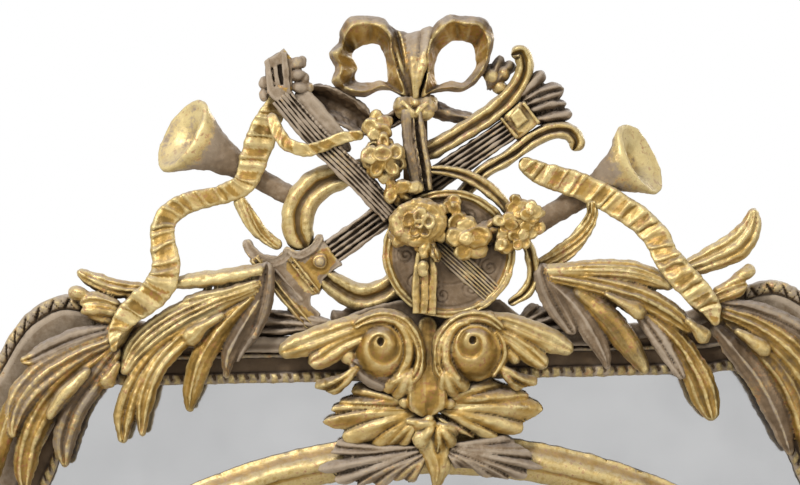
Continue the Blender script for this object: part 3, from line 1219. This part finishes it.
painted("lyre_base", [
    prism([
        [-193, 112], [-183, 119], [-148, 116], [-138, 121], [-108, 134], [-87, 105], [-96, 100], [-109, 89],
        [-114, 72], [-124, 70], [-124, 59], [-113, 49], [-118, 34], [-125, 26],
    ], 36.2, 56, tone=0.5),
    strip([[-189, 116, 12], [-157, 74, 12], [-122, 31, 12]], TWIN, back=46, thick=15.5, gilt=0.7, tone=0.7),
    strip([[-148, 116, 9], [-131, 94, 9], [-114, 72, 9]], TWIN, back=46, thick=14.5, gilt=0.75, tone=0.7),
    strip([[-170, 103, 15], [-153, 83, 15], [-133, 60, 14]], TWIN, back=44, thick=15, gilt=0.12, tone=0.55),
    strip([[-198, 136, 12], [-190, 122, 13], [-168, 109, 12], [-150, 118, 12], [-150, 127, 7]], band(13, 0.3),
          back=44, thick=16, gilt=0.3, tone=0.75),
    strip([[-149, 123, 8], [-137, 117, 10], [-121, 124, 10], [-109, 140, 9]], band(13, 0.2), back=44, thick=17,
          gilt=0.3, tone=0.75),
    ball(-112, 109, 6.5, 6.5, 50, 64, gilt=0.35),
    turned(-112, 109, 9.5, 50, 60, [[0.8, 0], [1, 0.6], [0.8, 1]]),
])
painted("lyre_strings", [strip([
    [-99, 119, 31], [5, 190, 30], [112, 259, 28],
], toothed(5, 0.8, 0.62), back=42, thick=12, gilt=0.2, tone=0.72, closed_ends=False, pace=2)], grain=None)
gilded("lyre_crossbar", [
    prism([[103, 272], [122, 288], [142, 262], [119, 245]], 36.2, 57.5, gilt=0.5, tone=0.7, inset=2),
    prism([[109, 271], [119, 282], [131, 267], [118, 257]], 56, 63, gilt=0.75, tone=0.9, inset=2),
    strip([[98, 271, 5], [119, 245, 5]], band(9), back=36.5, thick=24, gilt=0.5, tone=0.4),
    strip([[124, 288, 5], [144, 261, 5]], band(9), back=36.5, thick=24, gilt=0.6, tone=0.7),
])
painted("shell_fan", [
    strip([[120, 291, 10], [138, 310, 20], [151, 322, 12]], blade(1, 0.3), back=32, thick=20, lift=3,
          gilt=0.15),
    strip([[122, 284, 12], [151, 297, 22], [173, 302, 18]], blade(2, 0.4), back=32, thick=24, lift=3, gilt=0.2,
          tone=0.6),
    strip([[131, 276, 10], [156, 284, 14], [176, 285, 8]], blade(1, 0.3), back=32, thick=22, lift=3, gilt=0.15),
    strip([[135, 266, 12], [163, 271, 18], [182, 274, 12]], blade(1, 0.35), back=32, thick=20, lift=3,
          gilt=0.2),
])
gilded("hoop", [strip([
    [15, 212, 8], [36, 210, 12], [60, 203, 15], [83, 188, 16], [104, 166, 14], [120, 138, 13],
    [130, 110, 14], [132, 87, 15], [124, 70, 14], [103, 56, 10],
], HOOP, thick=15, tone=0.6, pace=1.6)], grain=None)

# %% [markdown]
# ## The horns
# Two turned and hollowed horns cross behind the trophy. Each is one surface: up the outside of the tube,
# over the thick lip of the bell, and down its bore.

# %% Horns
HORN_SIDES, HORN_BACK, HORN_FRONT = 72, 2.5, 62


def horn(tube, dish, lean, gilt):
    """Stations from the mouthpiece to the bell, then the rings of its mouth, from the lip inwards: [along,
    share of the mouth's size, shift towards the back]. The mouth leans back to face the room."""
    run = flow(tube, 0, 0, 2.0)
    gone = distances(run)
    lead = smoothstep(gone / gone[-1], 0.50, 1.0) * lean
    end, ahead = run[-1].copy(), run[-1, :2] - run[-4, :2]
    ahead /= np.hypot(*ahead)
    rows = [[*r, tilt] for r, tilt in zip(run, lead)]
    for along, share, shift in dish:
        width, depth = end[2] * share, end[4] * share
        base = end[3] + (end[4] - depth) / 2 - shift * end[4]
        rows.append([*(end[:2] + ahead * (along + shift * lean)), width, base, depth, lean * share])
    rows = np.array(rows)
    angle = np.linspace(0, 2 * math.pi, HORN_SIDES, endpoint=False)[None]
    side, f = np.cos(angle) * rows[:, 2:3] / 2, 0.5 - 0.5 * np.sin(angle)
    x = rows[:, 0:1] - ahead[1] * side - ahead[0] * rows[:, 5:6] * (f - 0.5)
    z = rows[:, 1:2] + ahead[0] * side - ahead[1] * rows[:, 5:6] * (f - 0.5)
    front = rows[:, 3:4] + f * rows[:, 4:5]
    n = len(run)
    at = [0, n * 0.78, n - 8, n - 2, n + 2, n + 4, n + 6, len(rows)]
    paint = np.interp(np.arange(len(rows)), at, gilt)[:, None] + 0 * x
    at = [0, n - 8, n - 1, len(rows)]
    shade = np.interp(np.arange(len(rows)), at, [0.5, 0.5, 1.0, 0.95])[:, None] + 0 * x
    return shell(x, np.clip(front, HORN_BACK, HORN_FRONT), z, grid_faces(len(rows), HORN_SIDES), paint, shade)


DISH = [[2.6, 0.99, 0], [4.0, 0.955, 0], [3.8, 0.90, 0], [2.6, 0.84, 0.0], [0.6, 0.76, 0.0], [-0.6, 0.62, 0.01],
        [-4.0, 0.47, 0.01], [-10, 0.34, 0.03], [-17, 0.23, 0.04], [-20, 0.12, 0.05], [-21, 0.05, 0.05]]
painted("left_horn", [horn([
    [-130, 176, 24, 19, 24], [-165, 197, 24, 18, 24], [-195, 216, 27, 17, 27], [-214, 227, 35, 14, 33],
    [-232, 238, 48, 10, 41], [-246, 246, 63, 7, 48], [-257, 251, 79, 4, 54], [-267, 257, 92, 3, 58],
], DISH, 38, [0.08, 0.12, 0.46, 0.62, 0.50, 0.52, 0.55, 0.55])], grain=None)
painted("right_horn", [horn([
    [-100, 38, 14, 20, 14], [-94, 42, 24, 17, 20], [-87, 45, 15, 19, 16], [-77, 48, 18, 17, 18],
    [-18, 65, 20, 17, 20], [37, 93, 21, 17, 20], [95, 123, 23, 17, 20], [151, 155, 26, 17, 22],
    [191, 178, 27, 16, 26], [213, 191, 32, 14, 32], [229, 203, 43, 11, 40], [241, 209, 58, 7, 48],
    [250, 215, 76, 4, 55], [258, 219, 90, 3, 58],
], DISH, 36, [0.3, 0.10, 0.44, 0.66, 0.62, 0.64, 0.7, 0.7])], grain=None)

# %% [markdown]
# ## Flowers
# The roses are round and deep: petals that turn their lips out stand round and over each other, with dark gaps
# between. Smaller blossoms are a few cupped petals round a knob or a hole. All parts are grown together.

# %% Roses, blossoms and florets
def blossom(x, z, radius, back, front, count, seed, middle=True, tone=0.6):
    """Cupped petals on a ring round a knob, or round a hole where there is no knob."""
    rng = np.random.default_rng(seed)
    turn, deep = rng.uniform(0, 360), front - back
    shells = [ball(x, z, 0.6 * radius, 0.6 * radius, back, back + 0.62 * deep, tone=tone)]
    if middle:
        shells.append(ball(x, z, 0.30 * radius, 0.31 * radius, back + 0.3 * deep, front, tone=0.8))
    for k in range(count):
        a = turn + 360 * k / count + rng.uniform(-9, 9)
        size = radius * rng.uniform(0.42, 0.58) * (5 / count) ** 0.5
        away = radius - size
        shells.append(petal(x + away * math.cos(math.radians(a)), z + away * math.sin(math.radians(a)),
                            size * 1.05, size * 0.95, a, back + 0.1 * deep,
                            back + deep * rng.uniform(0.74, 0.92), lean=rng.uniform(-1, 2.5),
                            hollow=rng.uniform(0.25, 0.7), tone=rng.uniform(tone - 0.2, tone + 0.3)))
    return shells


def cabbage(x, z, radius, back, front, rings, seed, tone):
    """A full rose: a knob with rings of cupped petals. Each ring is [count, distance, size, height]."""
    rng = np.random.default_rng(seed)
    deep = front - back
    shells = [ball(x, z, 0.72 * radius, 0.72 * radius, back, back + 0.66 * deep, tone=tone, sides=32)]
    for count, away, size, rise in rings:
        turn = rng.uniform(0, 360)
        for k in range(count):
            a = turn + 360 * k / count + rng.uniform(-10, 10)
            s = radius * size * rng.uniform(0.9, 1.12)
            px = x + radius * away * math.cos(math.radians(a))
            pz = z + radius * away * math.sin(math.radians(a))
            top = back + deep * (rise + rng.uniform(-0.05, 0.05))
            shells.append(petal(px, pz, s * 0.9, s * 1.1, a, back + 0.1 * deep, top, lean=rng.uniform(-3, 0),
                                tone=rng.uniform(tone - 0.1, tone + 0.25)))
    return shells


FLOWERS_BACK = 78.5  # front of the bow's tails, on which the top flowers sit
gilded("top_flowers", [
    *blossom(-42, 262, 18, 66, 92, 5, 3, tone=0.7), ball(-55, 263, 5, 5, 66, 88, tone=0.8),
    ball(-31, 267, 5, 5, 66, 86),
    *cabbage(-36, 224, 25, FACE, 98, [[7, 0.72, 0.34, 0.80]], 5, tone=0.7),
    petal(-51, 229, 11, 11, 170, 80, 101, -1, tone=0.85), petal(-37, 230, 10, 13, 90, 80, 103, tone=0.75),
    petal(-23, 232, 10, 10, 20, 80, 101, -1, tone=0.8), petal(-44, 215, 13, 9, 240, 78, 99, -2, tone=0.65),
    petal(-28, 215, 13, 9, 300, 78, 99, -2, tone=0.8), petal(-36, 243, 12, 7, 90, 78, 98, -2, tone=0.7),
    ball(-36, 204, 8, 7, FLOWERS_BACK, 95, tone=0.9), ball(-51, 210, 6, 5, FLOWERS_BACK, 92),
    lobed([-34, 206], [[-32, 175], [-20, 170], [-6, 174]], back=FLOWERS_BACK, thick=12, lift=2, tone=0.5),
    petal(-16, 192, 12, 8, 20, FLOWERS_BACK, 94, 2, hollow=0.5, tone=0.6),
    ball(-2, 191, 9, 8, FLOWERS_BACK, 97, tone=0.9),
    petal(-28, 183, 10, 7, 250, FLOWERS_BACK, 93, 0, hollow=0.6, tone=0.5),
], FINE_GRAIN, shake=1.3)
gilded("great_rose", [
    ball(2, 151, 31, 27, 74, 97, tone=0.7, sides=48),
    petal(2, 151, 33, 28, 10, 74, 100, 0, hollow=1.0, tone=0.75),
    petal(-8, 152, 21, 24, 170, 76, 102, 1, tone=0.8),
    *[petal(x, z, a, b, turn, 80, top, lean, tone=shade) for x, z, a, b, turn, top, lean, shade in [
        [-9, 155, 9, 11, 160, 103, 0, 0.6], [3, 159, 10, 9, 80, 104.5, 0, 0.8],
        [13, 153, 9, 10, 20, 104, 0, 0.9], [9, 142, 9, 9, 300, 102, 0, 0.7], [-2, 142, 10, 8, 240, 103, 0, 0.5],
        [2, 150, 6, 7, 100, 105, 0, 0.8], [24, 161, 13, 8, 50, 96, -1, 0.7], [22, 139, 13, 8, 320, 95, -1, 0.8],
        [-18, 135, 13, 8, 230, 95, -1, 0.7], [3, 129, 14, 7, 270, 94, -1, 0.6],
    ]],
    lobed([-15, 127], [[-31, 154], [-33, 140], [-30, 128]], back=75.5, thick=12, gilt=0.5, tone=0.8),
    strip([[16, 131, 9], [9, 120, 13], [4, 110, 9]], ROLL, back=90, thick=11, tone=0.8),
    strip([[15, 129, 8], [20, 115, 11], [24, 105, 6]], FOLD, back=90, thick=11, tone=0.4),
    ball(7, 99, 6, 8, 88, 98, tone=0.8),
], FINE_GRAIN, shake=1.3)
FLORETS = [[115, 168], [131, 160], [120, 149], [102, 149], [100, 126], [117, 130], [131, 143]]
florets = []
for i, (x, z) in enumerate(FLORETS):
    florets += blossom(x, z, 14, 74 + (i % 3) * 2, 95 + (i % 2) * 3, 4, 20 + i, middle=i % 3 == 1, tone=0.6)
gilded("floret_spray", [
    *blossom(58, 131, 26, 75.5, 99, 5, 13, tone=0.65), ball(56, 133, 11, 11, 76, 100, tone=0.9, sides=24),
    *blossom(41, 170, 13, 75.5, 95, 3, 17), petal(45, 151, 14, 10, 60, 75.5, 93, tone=0.5), *florets,
    lobed([61, 135], [[77, 151], [94, 155], [103, 143], [93, 130], [79, 123]], back=75.5, thick=11, gilt=0.5,
          tone=0.5),
], FINE_GRAIN, shake=1.4)

# %% [markdown]
# ## Long leaves
# The sprays are made of long smooth leaves that lie over each other and curve down over the frame. Some are
# fluted, some are folded along a groove, and some have one keel. Each is gilded or painted on its own, and
# closed buds grow between them.

# %% Leaves of both sprays
BUD = pipe(24, 3, 0.10)


def leaves(rows):
    """Leaves as [kind, stations, options]."""
    shells = []
    for kind, stations, options in rows:
        settings = {"thick": 18, "lift": 3, "tone": 0.5, **options}
        if kind == "bud":
            shells.append(strip(stations, BUD, pace=1.5, **{**settings, "thick": 20}))
        else:
            shells.append(strip(stations, KINDS[kind], pace=1.7, grooves=RIBBED.get(kind, 0), **settings))
    return shells


LEFT_INNER = [
    ["fold", [[-172, 110, 16], [-177, 78, 26], [-185, 46, 24], [-195, 21, 14]],
     dict(lift=0, gilt=0.3, tone=0.3)],
    ["roll", [[-174, 102, 14], [-222, 94, 19], [-262, 90, 18], [-287, 86, 8]],
     dict(tone=1.0, thick=20, roll=2)],
    ["two", [[-179, 87, 14], [-222, 74, 17], [-251, 69, 17], [-270, 65, 12]], dict(back=62, tone=0.9)],
    ["five", [[-182, 83, 18], [-234, 66, 28], [-284, 43, 34], [-321, 14, 32], [-340, -15, 12]],
     dict(back=61, tone=0.85, thick=19)],
    ["fold", [[-200, 67, 16], [-252, 38, 20], [-298, 11, 24], [-327, -28, 26], [-340, -68, 23], [-342, -94, 8]],
     dict(gilt=0.85, tone=0.6)],
    ["two", [[-234, 49, 16], [-275, 20, 22], [-301, -9, 23], [-316, -46, 22], [-320, -87, 7]],
     dict(back=61, tone=0.7)],
    ["bud", [[-221, 52, 7], [-244, 39, 12], [-260, 27, 22], [-270, 20, 18]], dict(back=64, tone=0.8)],
    ["keel", [[-186, 73, 14], [-223, 39, 24], [-250, -1, 27], [-261, -35, 22], [-265, -60, 7]],
     dict(tone=0.55, lift=5)],
    ["keel", [[-180, 69, 14], [-203, 32, 22], [-218, 4, 19], [-222, -22, 6]],
     dict(back=60, gilt=0.35, tone=0.3)],
    ["fold", [[-173, 66, 16], [-188, 38, 22], [-203, 15, 16], [-211, -4, 6]],
     dict(gilt=0.2, tone=0.2, thick=14)],
]
LEFT_OUTER = [
    ["fold", [[-306, 81, 18], [-332, 56, 26], [-348, 30, 28], [-360, 10, 16]], dict(tone=0.4, gilt=0.6)],
    ["three", [[-308, 79, 16], [-348, 84, 22], [-375, 95, 18], [-391, 105, 10]], dict(tone=0.7, back=54)],
    ["bud", [[-345, 66, 8], [-371, 73, 10], [-389, 79, 17], [-400, 81, 18]], dict(tone=0.55, gilt=0.7)],
    ["two", [[-339, 61, 12], [-361, 68, 20], [-375, 69, 23], [-387, 67, 14]],
     dict(back=64, gilt=0.8, tone=0.7)],
    ["roll", [[-341, 54, 12], [-361, 58, 14], [-375, 59, 15], [-387, 58, 9]],
     dict(back=66, thick=16, gilt=0.75)],
    ["roll", [[-346, 45, 12], [-366, 51, 14], [-380, 56, 9]], dict(gilt=0.5)],
    ["fold", [[-351, 38, 12], [-390, 28, 23], [-425, 14, 23], [-446, 4, 16], [-457, 2, 7]],
     dict(gilt=lambda t, u: 0.08 + 0.75 * smoothstep(t, 0.8, 0.97) + 0 * u, tone=0.5, lift=5)],
    ["three", [[-351, 26, 16], [-390, 11, 28], [-431, -13, 36], [-458, -43, 32], [-467, -71, 18],
               [-467, -85, 7]],
     dict(back=63, gilt=0.44, tone=0.6)],
    ["two", [[-353, 19, 16], [-388, -7, 26], [-426, -46, 32], [-448, -89, 30], [-455, -123, 25],
             [-455, -146, 9]],
     dict(gilt=0.62, tone=0.45)],
    ["roll", [[-377, -8, 8], [-400, -30, 16], [-417, -49, 15], [-426, -64, 8]],
     dict(back=70, thick=16, gilt=0.55, tone=0.8)],
    ["fold", [[-344, 15, 16], [-368, -16, 25], [-394, -50, 30], [-409, -90, 27], [-409, -120, 7]],
     dict(gilt=0.4, tone=0.2)],
    ["keel", [[-386, 11, 16], [-439, -18, 25], [-470, -60, 26], [-485, -105, 20], [-493, -148, 7]],
     dict(gilt=lambda t, u: 0.2 + 0.6 * smoothstep(t, 0.3, 0.6) + 0 * u, tone=0.4)],
    ["bud", [[-343, 0, 7], [-352, -13, 13], [-359, -24, 19], [-362, -31, 16]],
     dict(tone=0.5, gilt=0.7, back=62)],
]
RIGHT_INNER = [
    ["fold", [[142, 101, 18], [147, 78, 28], [163, 45, 26], [178, 20, 14]], dict(lift=0, gilt=0.1, tone=0.4)],
    ["five", [[143, 93, 14], [198, 93, 24], [244, 90, 26], [274, 80, 22], [292, 71, 12]],
     dict(tone=0.8, back=60)],
    ["three", [[147, 87, 16], [209, 74, 24], [261, 57, 28], [295, 36, 25], [312, 19, 9]],
     dict(back=61, gilt=0.9, tone=0.6, lift=5)],
    ["three", [[209, 67, 12], [255, 44, 20], [291, 13, 27], [316, -27, 34], [328, -60, 32], [334, -83, 12]],
     dict(gilt=0.7, tone=0.5, back=57)],
    ["roll", [[177, 73, 16], [214, 40, 29], [240, 6, 28], [253, -14, 18], [259, -27, 8]],
     dict(back=61, gilt=0.6, tone=0.35, lift=4)],
    ["keel", [[147, 85, 16], [180, 53, 28], [202, 17, 26], [212, -6, 15], [216, -21, 6]],
     dict(gilt=0.08, tone=0.5, lift=4)],
    ["bud", [[211, 67, 7], [232, 55, 11], [248, 46, 20], [258, 37, 20]], dict(back=66, gilt=0.6, tone=0.6)],
    ["fold", [[252, 43, 14], [277, 8, 21], [292, -17, 18], [302, -34, 7]], dict(gilt=0.15, tone=0.7)],
    ["bud", [[305, 35, 7], [315, 25, 13], [324, 15, 19], [330, 8, 16]], dict(back=68, gilt=0.7, tone=0.6)],
]
RIGHT_OUTER = [
    ["roll", [[299, 88, 18], [317, 65, 26], [333, 46, 28], [346, 28, 16]], dict(tone=0.4, gilt=0.6)],
    ["three", [[306, 91, 20], [339, 104, 30], [367, 118, 34], [382, 137, 27], [388, 160, 9]],
     dict(tone=0.85, back=54)],
    ["bud", [[338, 65, 8], [359, 76, 11], [376, 86, 17], [387, 89, 18]], dict(tone=0.6, gilt=0.7)],
    ["two", [[329, 54, 16], [353, 64, 20], [368, 70, 20], [377, 73, 12]], dict(back=62, gilt=0.75, tone=0.6)],
    ["fold", [[342, 51, 12], [381, 43, 22], [421, 26, 25], [452, 5, 18], [470, -12, 7]],
     dict(gilt=0.2, tone=0.3)],
    ["three", [[344, 43, 16], [387, 24, 28], [428, -9, 36], [457, -57, 30], [466, -95, 9]],
     dict(back=63, gilt=0.7, tone=0.5)],
    ["two", [[349, 34, 14], [387, 1, 25], [420, -42, 28], [439, -96, 25], [442, -145, 8]],
     dict(gilt=0.55, tone=0.4)],
    ["keel", [[337, 28, 16], [363, -3, 26], [389, -38, 30], [410, -82, 27], [423, -124, 9]],
     dict(back=60, gilt=0.3, tone=0.3)],
    ["bud", [[360, 22, 7], [376, 11, 12], [390, 0, 18], [399, -8, 16]], dict(back=70, gilt=0.7, tone=0.7)],
]
for name, rows in (("left_inner_leaves", LEFT_INNER), ("left_outer_leaves", LEFT_OUTER),
                   ("right_inner_leaves", RIGHT_INNER), ("right_outer_leaves", RIGHT_OUTER)):
    gilded(name, leaves(rows))

# %% [markdown]
# ## The cartouche under the trophy
# Two swollen scrolls with a drilled eye carry plumes to both sides. Their flutes start over the top of the
# scroll and fan out to rounded tips. A smooth tongue falls between the scrolls.

# %% Scrolls
EYE = [[0.130, -1.0], [0.115, -2.4], [0.090, -4.2], [0.060, -5.8], [0.02, -6.4]]  # [radius share, depth]
DOME_ROWS, DOME_SIDES = 44, 132


def dome(x, z, rx, rz, back, front, eye, turn, hand=1):
    """A swollen snail: a shell from its back to the bottom of the eye, with one soft step wound round it."""
    angle = np.linspace(0, 2 * math.pi, DOME_SIDES, endpoint=False)[None]
    rise = np.linspace(0, 1, DOME_ROWS)[:, None]
    reach = np.cos(rise * math.pi / 2) * 0.86 + 0.14
    ex, ez = eye
    px = x + (ex - x) * rise**1.6 + rx * reach * np.cos(angle)
    pz = z + (ez - z) * rise**1.6 + rz * reach * np.sin(angle)
    depth = back + (front - back) * np.sin(rise * math.pi / 2) ** 0.9 + 0 * angle
    wound = (hand * angle / (2 * math.pi) + turn - 1.9 * reach) % 1
    step = smoothstep(wound, 0.0, 0.70) - smoothstep(wound, 0.76, 1.0) - 0.5
    depth = depth + 3.4 * step * smoothstep(reach, 0.16, 0.36) * (1 - smoothstep(reach, 0.84, 1.0))
    hole, sunk = np.array(EYE).T[..., None]
    return shell(np.concatenate([px, ex + rx * hole * np.cos(angle)]),
                 np.concatenate([depth, front + sunk + 0 * angle]),
                 np.concatenate([pz, ez + rz * 1.25 * hole * np.sin(angle)]),
                 grid_faces(DOME_ROWS + len(EYE), DOME_SIDES), 1.0,
                 np.concatenate([0.52 + 0.34 * step, np.full((len(EYE), DOME_SIDES), 0.35)]))


SOFT = ribs(2, 0.16, 0.5, 2.0)  # two broad rounds with a shallow crease
gilded("left_scroll", [
    dome(-44, 4, 31, 34, FACE, 88, [-44, 16], 0.20),
    strip([[-40, 42, 10], [-24, 37, 15], [-14, 20, 17], [-13, 0, 17], [-19, -16, 16], [-29, -29, 10]], ROLL,
          thick=24, tone=0.6),
    strip([[-77, 33, 12], [-58, 42, 18], [-39, 45, 20], [-18, 38, 19], [-4, 20, 15], [1, 0, 14],
           [-3, -20, 15], [-16, -36, 12]], SOFT, thick=25, tone=0.6, grooves=2),
    strip([[-24, 41, 15], [-51, 39, 21], [-84, 32, 27], [-119, 20, 30], [-144, 12, 27], [-161, 6, 14]], SOFT,
          thick=21, tone=0.8, gilt=0.85, grooves=2),
    strip([[-31, 32, 14], [-60, 25, 20], [-88, 14, 26], [-111, 0, 27], [-127, -7, 15]], SOFT, thick=20,
          tone=0.7, grooves=2),
    ball(-81, -1, 9, 9, FACE, 74, tone=0.7),
    lobed([-64, -7], [[-121, -36], [-102, -42]], back=FACE, thick=15, bow=0.10, tone=0.55, notch=0.9),
    lobed([-8, -11], [[-10, -48], [-27, -51], [-43, -41]], back=FACE, thick=22, tone=0.75, notch=0.92,
          furrow=0.14, rim=0.55, vein=0.05),
    strip([[-80, -5, 14], [-55, -23, 26], [-32, -35, 20]], FOLD, thick=17, gilt=0.2, tone=0.2),
])
gilded("right_scroll", [
    dome(64, 2, 33, 34, FACE, 88, [61, 16], 0.45, -1),
    strip([[60, 38, 10], [43, 32, 15], [32, 15, 17], [30, -4, 17], [36, -20, 16], [46, -32, 10]], ROLL,
          thick=25, tone=0.7),
    strip([[98, 26, 12], [80, 40, 18], [58, 43, 20], [38, 35, 19], [24, 18, 15], [20, 0, 14],
           [22, -18, 14], [34, -35, 11]], SOFT, thick=25, tone=0.6, grooves=2),
    strip([[86, 28, 7], [96, 14, 10], [98, -1, 11], [92, -15, 10], [83, -27, 6]], ROLL, thick=20, tone=0.5),
    strip([[68, 40, 14], [97, 36, 22], [125, 25, 28], [153, 12, 28], [176, 0, 14]], SOFT, thick=21, tone=0.85,
          grooves=2),
    strip([[77, 31, 14], [101, 18, 22], [125, 1, 26], [146, -17, 16]], SOFT, thick=20, tone=0.75, grooves=2),
    strip([[82, 22, 12], [97, 5, 17], [114, -11, 12]], ROLL, thick=17, tone=0.6),
    lobed([83, -6], [[115, -42], [134, -37]], back=FACE, thick=15, bow=-0.1, tone=0.55, notch=0.9),
    lobed([25, -12], [[23, -46], [38, -50], [55, -43]], back=FACE, thick=22, tone=0.7, notch=0.92, furrow=0.14,
          rim=0.55, vein=0.05),
])
gilded("centre_drop", [
    strip([
        [11, 44, 22, 57, 8], [10, 19, 26, 57, 9], [9, -7, 34, 57, 13], [8, -27, 42, 57, 18],
        [8, -46, 47, 57, 22], [7, -61, 42, 57, 22], [7, -72, 20, 57, 19],
    ], band(13, 0.25), lift=2, tone=0.5, gilt=0.9, pace=1.6),
    ball(-17, -54, 8, 7, FACE, 74), ball(32, -57, 8, 7, FACE, 74),
])
painted("crest_block", [
    prism([[-100, 28], [-85, 44], [-61, 55], [-21, 63], [94, 61], [117, 42], [125, 23], [125, 8],
           [-100, 13]], 16.5, 57, tone=0.3),
    lobed([-77, 32], [[-201, 28], [-194, 44], [-173, 54], [-148, 56]], back=26, thick=30, gilt=0.2, tone=0.6),
    lobed([100, 24], [[135, 55], [155, 52], [174, 44], [185, 26]], back=26, thick=30, gilt=0.1, tone=0.6),
])

# %% [markdown]
# Broad leaves with lobed edges hang under the scrolls: two gilt ones, a folded one in the middle that ends in
# a point, and two painted ones that lie on the arch.

# %% Leaves that hang over the glass and the arch
BRIDGE = dict(back=48, thick=15, lift=5)
BROAD = dict(furrow=0.26, rim=0.48, vein=0.14)
gilded("left_gilt_leaf", [
    lobed([-1, -57], [[-93, -53], [-78, -37]], notch=0.86, tone=0.4, back=49, thick=14, lift=6, **BROAD),
    lobed([4, -62], [[-102, -60], [-114, -75], [-87, -99], [-52, -110]], notch=0.82, tone=0.75, bow=-0.06,
          **BROAD,
          **BRIDGE),
    lobed([4, -66], [[-43, -107], [-22, -108]], notch=0.88, tone=0.6, **BROAD, **BRIDGE),
])
gilded("right_gilt_leaf", [
    lobed([18, -57], [[83, -32], [124, -48]], notch=0.86, tone=0.5, back=49, thick=14, lift=6, **BROAD),
    lobed([13, -62], [[84, -100], [114, -93], [141, -67]], notch=0.82, tone=0.78, bow=0.05, **BROAD, **BRIDGE),
    lobed([13, -67], [[40, -92], [61, -98]], notch=0.88, tone=0.6, **BROAD, **BRIDGE),
    strip([[32, -58, 5, 60, 5], [68, -60, 5, 61, 5], [124, -63, 3, 59, 4]], ROLL, tone=1.0, pace=1.5),
])
gilded("hanging_leaf", [
    strip([[13, -69, 24], [10, -87, 36], [14, -106, 36], [19, -129, 28], [15, -156, 8]], KEEL,
          back=48, thick=19, tone=0.8, pace=1.6),
    lobed([20, -76], [[-16, -81], [-6, -106]], back=52, thick=20, tone=0.8, notch=0.88, **BROAD),
    lobed([17, -76], [[21, -114], [39, -106], [44, -88]], back=52, thick=19, tone=0.7, notch=0.88, **BROAD),
    ball(-1, -96, 10, 10, 56, 74, tone=0.9), strip([[-19, -75, 8], [-1, -78, 13], [15, -71, 12]], ROLL, back=54,
                                                    thick=19, tone=0.8),
    strip([[20, -78, 4, 66, 6], [21, -93, 5, 66, 6], [18, -113, 4, 64, 6]], ROLL, tone=0.3, gilt=0.8, pace=1.3),
])
painted("left_taupe_leaf", [
    lobed([10, -106], [[-98, -100], [-105, -110]], back=46, thick=13, lift=3, notch=0.9, bow=0.04, gilt=0.12,
          tone=0.6),
    lobed([8, -108], [[-120, -131], [-99, -145]], back=46, thick=14, lift=4, notch=0.84, furrow=0.55, gilt=0.12,
          tone=0.7),
    lobed([10, -110], [[-76, -151], [-49, -150]], back=45, thick=14, lift=4, notch=0.84, bow=-0.06, furrow=0.55,
          gilt=0.28, tone=0.6),
    lobed([7, -115], [[-32, -144], [-14, -147]], back=45, thick=14, lift=4, notch=0.84, gilt=0.4, tone=0.5),
])
painted("right_taupe_leaf", [
    lobed([21, -104], [[118, -109], [100, -97]], back=46, thick=13, lift=3, notch=0.9, bow=-0.04, gilt=0.12,
          tone=0.6),
    lobed([24, -106], [[121, -144], [140, -134], [127, -117]], back=46, thick=14, lift=4, notch=0.84,
          furrow=0.55, gilt=0.12, tone=0.7),
    lobed([24, -108], [[76, -143], [99, -146]], back=45, thick=15, lift=4, notch=0.84, bow=0.05, furrow=0.55,
          gilt=0.25, tone=0.6),
    lobed([26, -111], [[42, -132], [60, -133]], back=45, thick=14, lift=4, notch=0.84, gilt=0.2, tone=0.5),
])
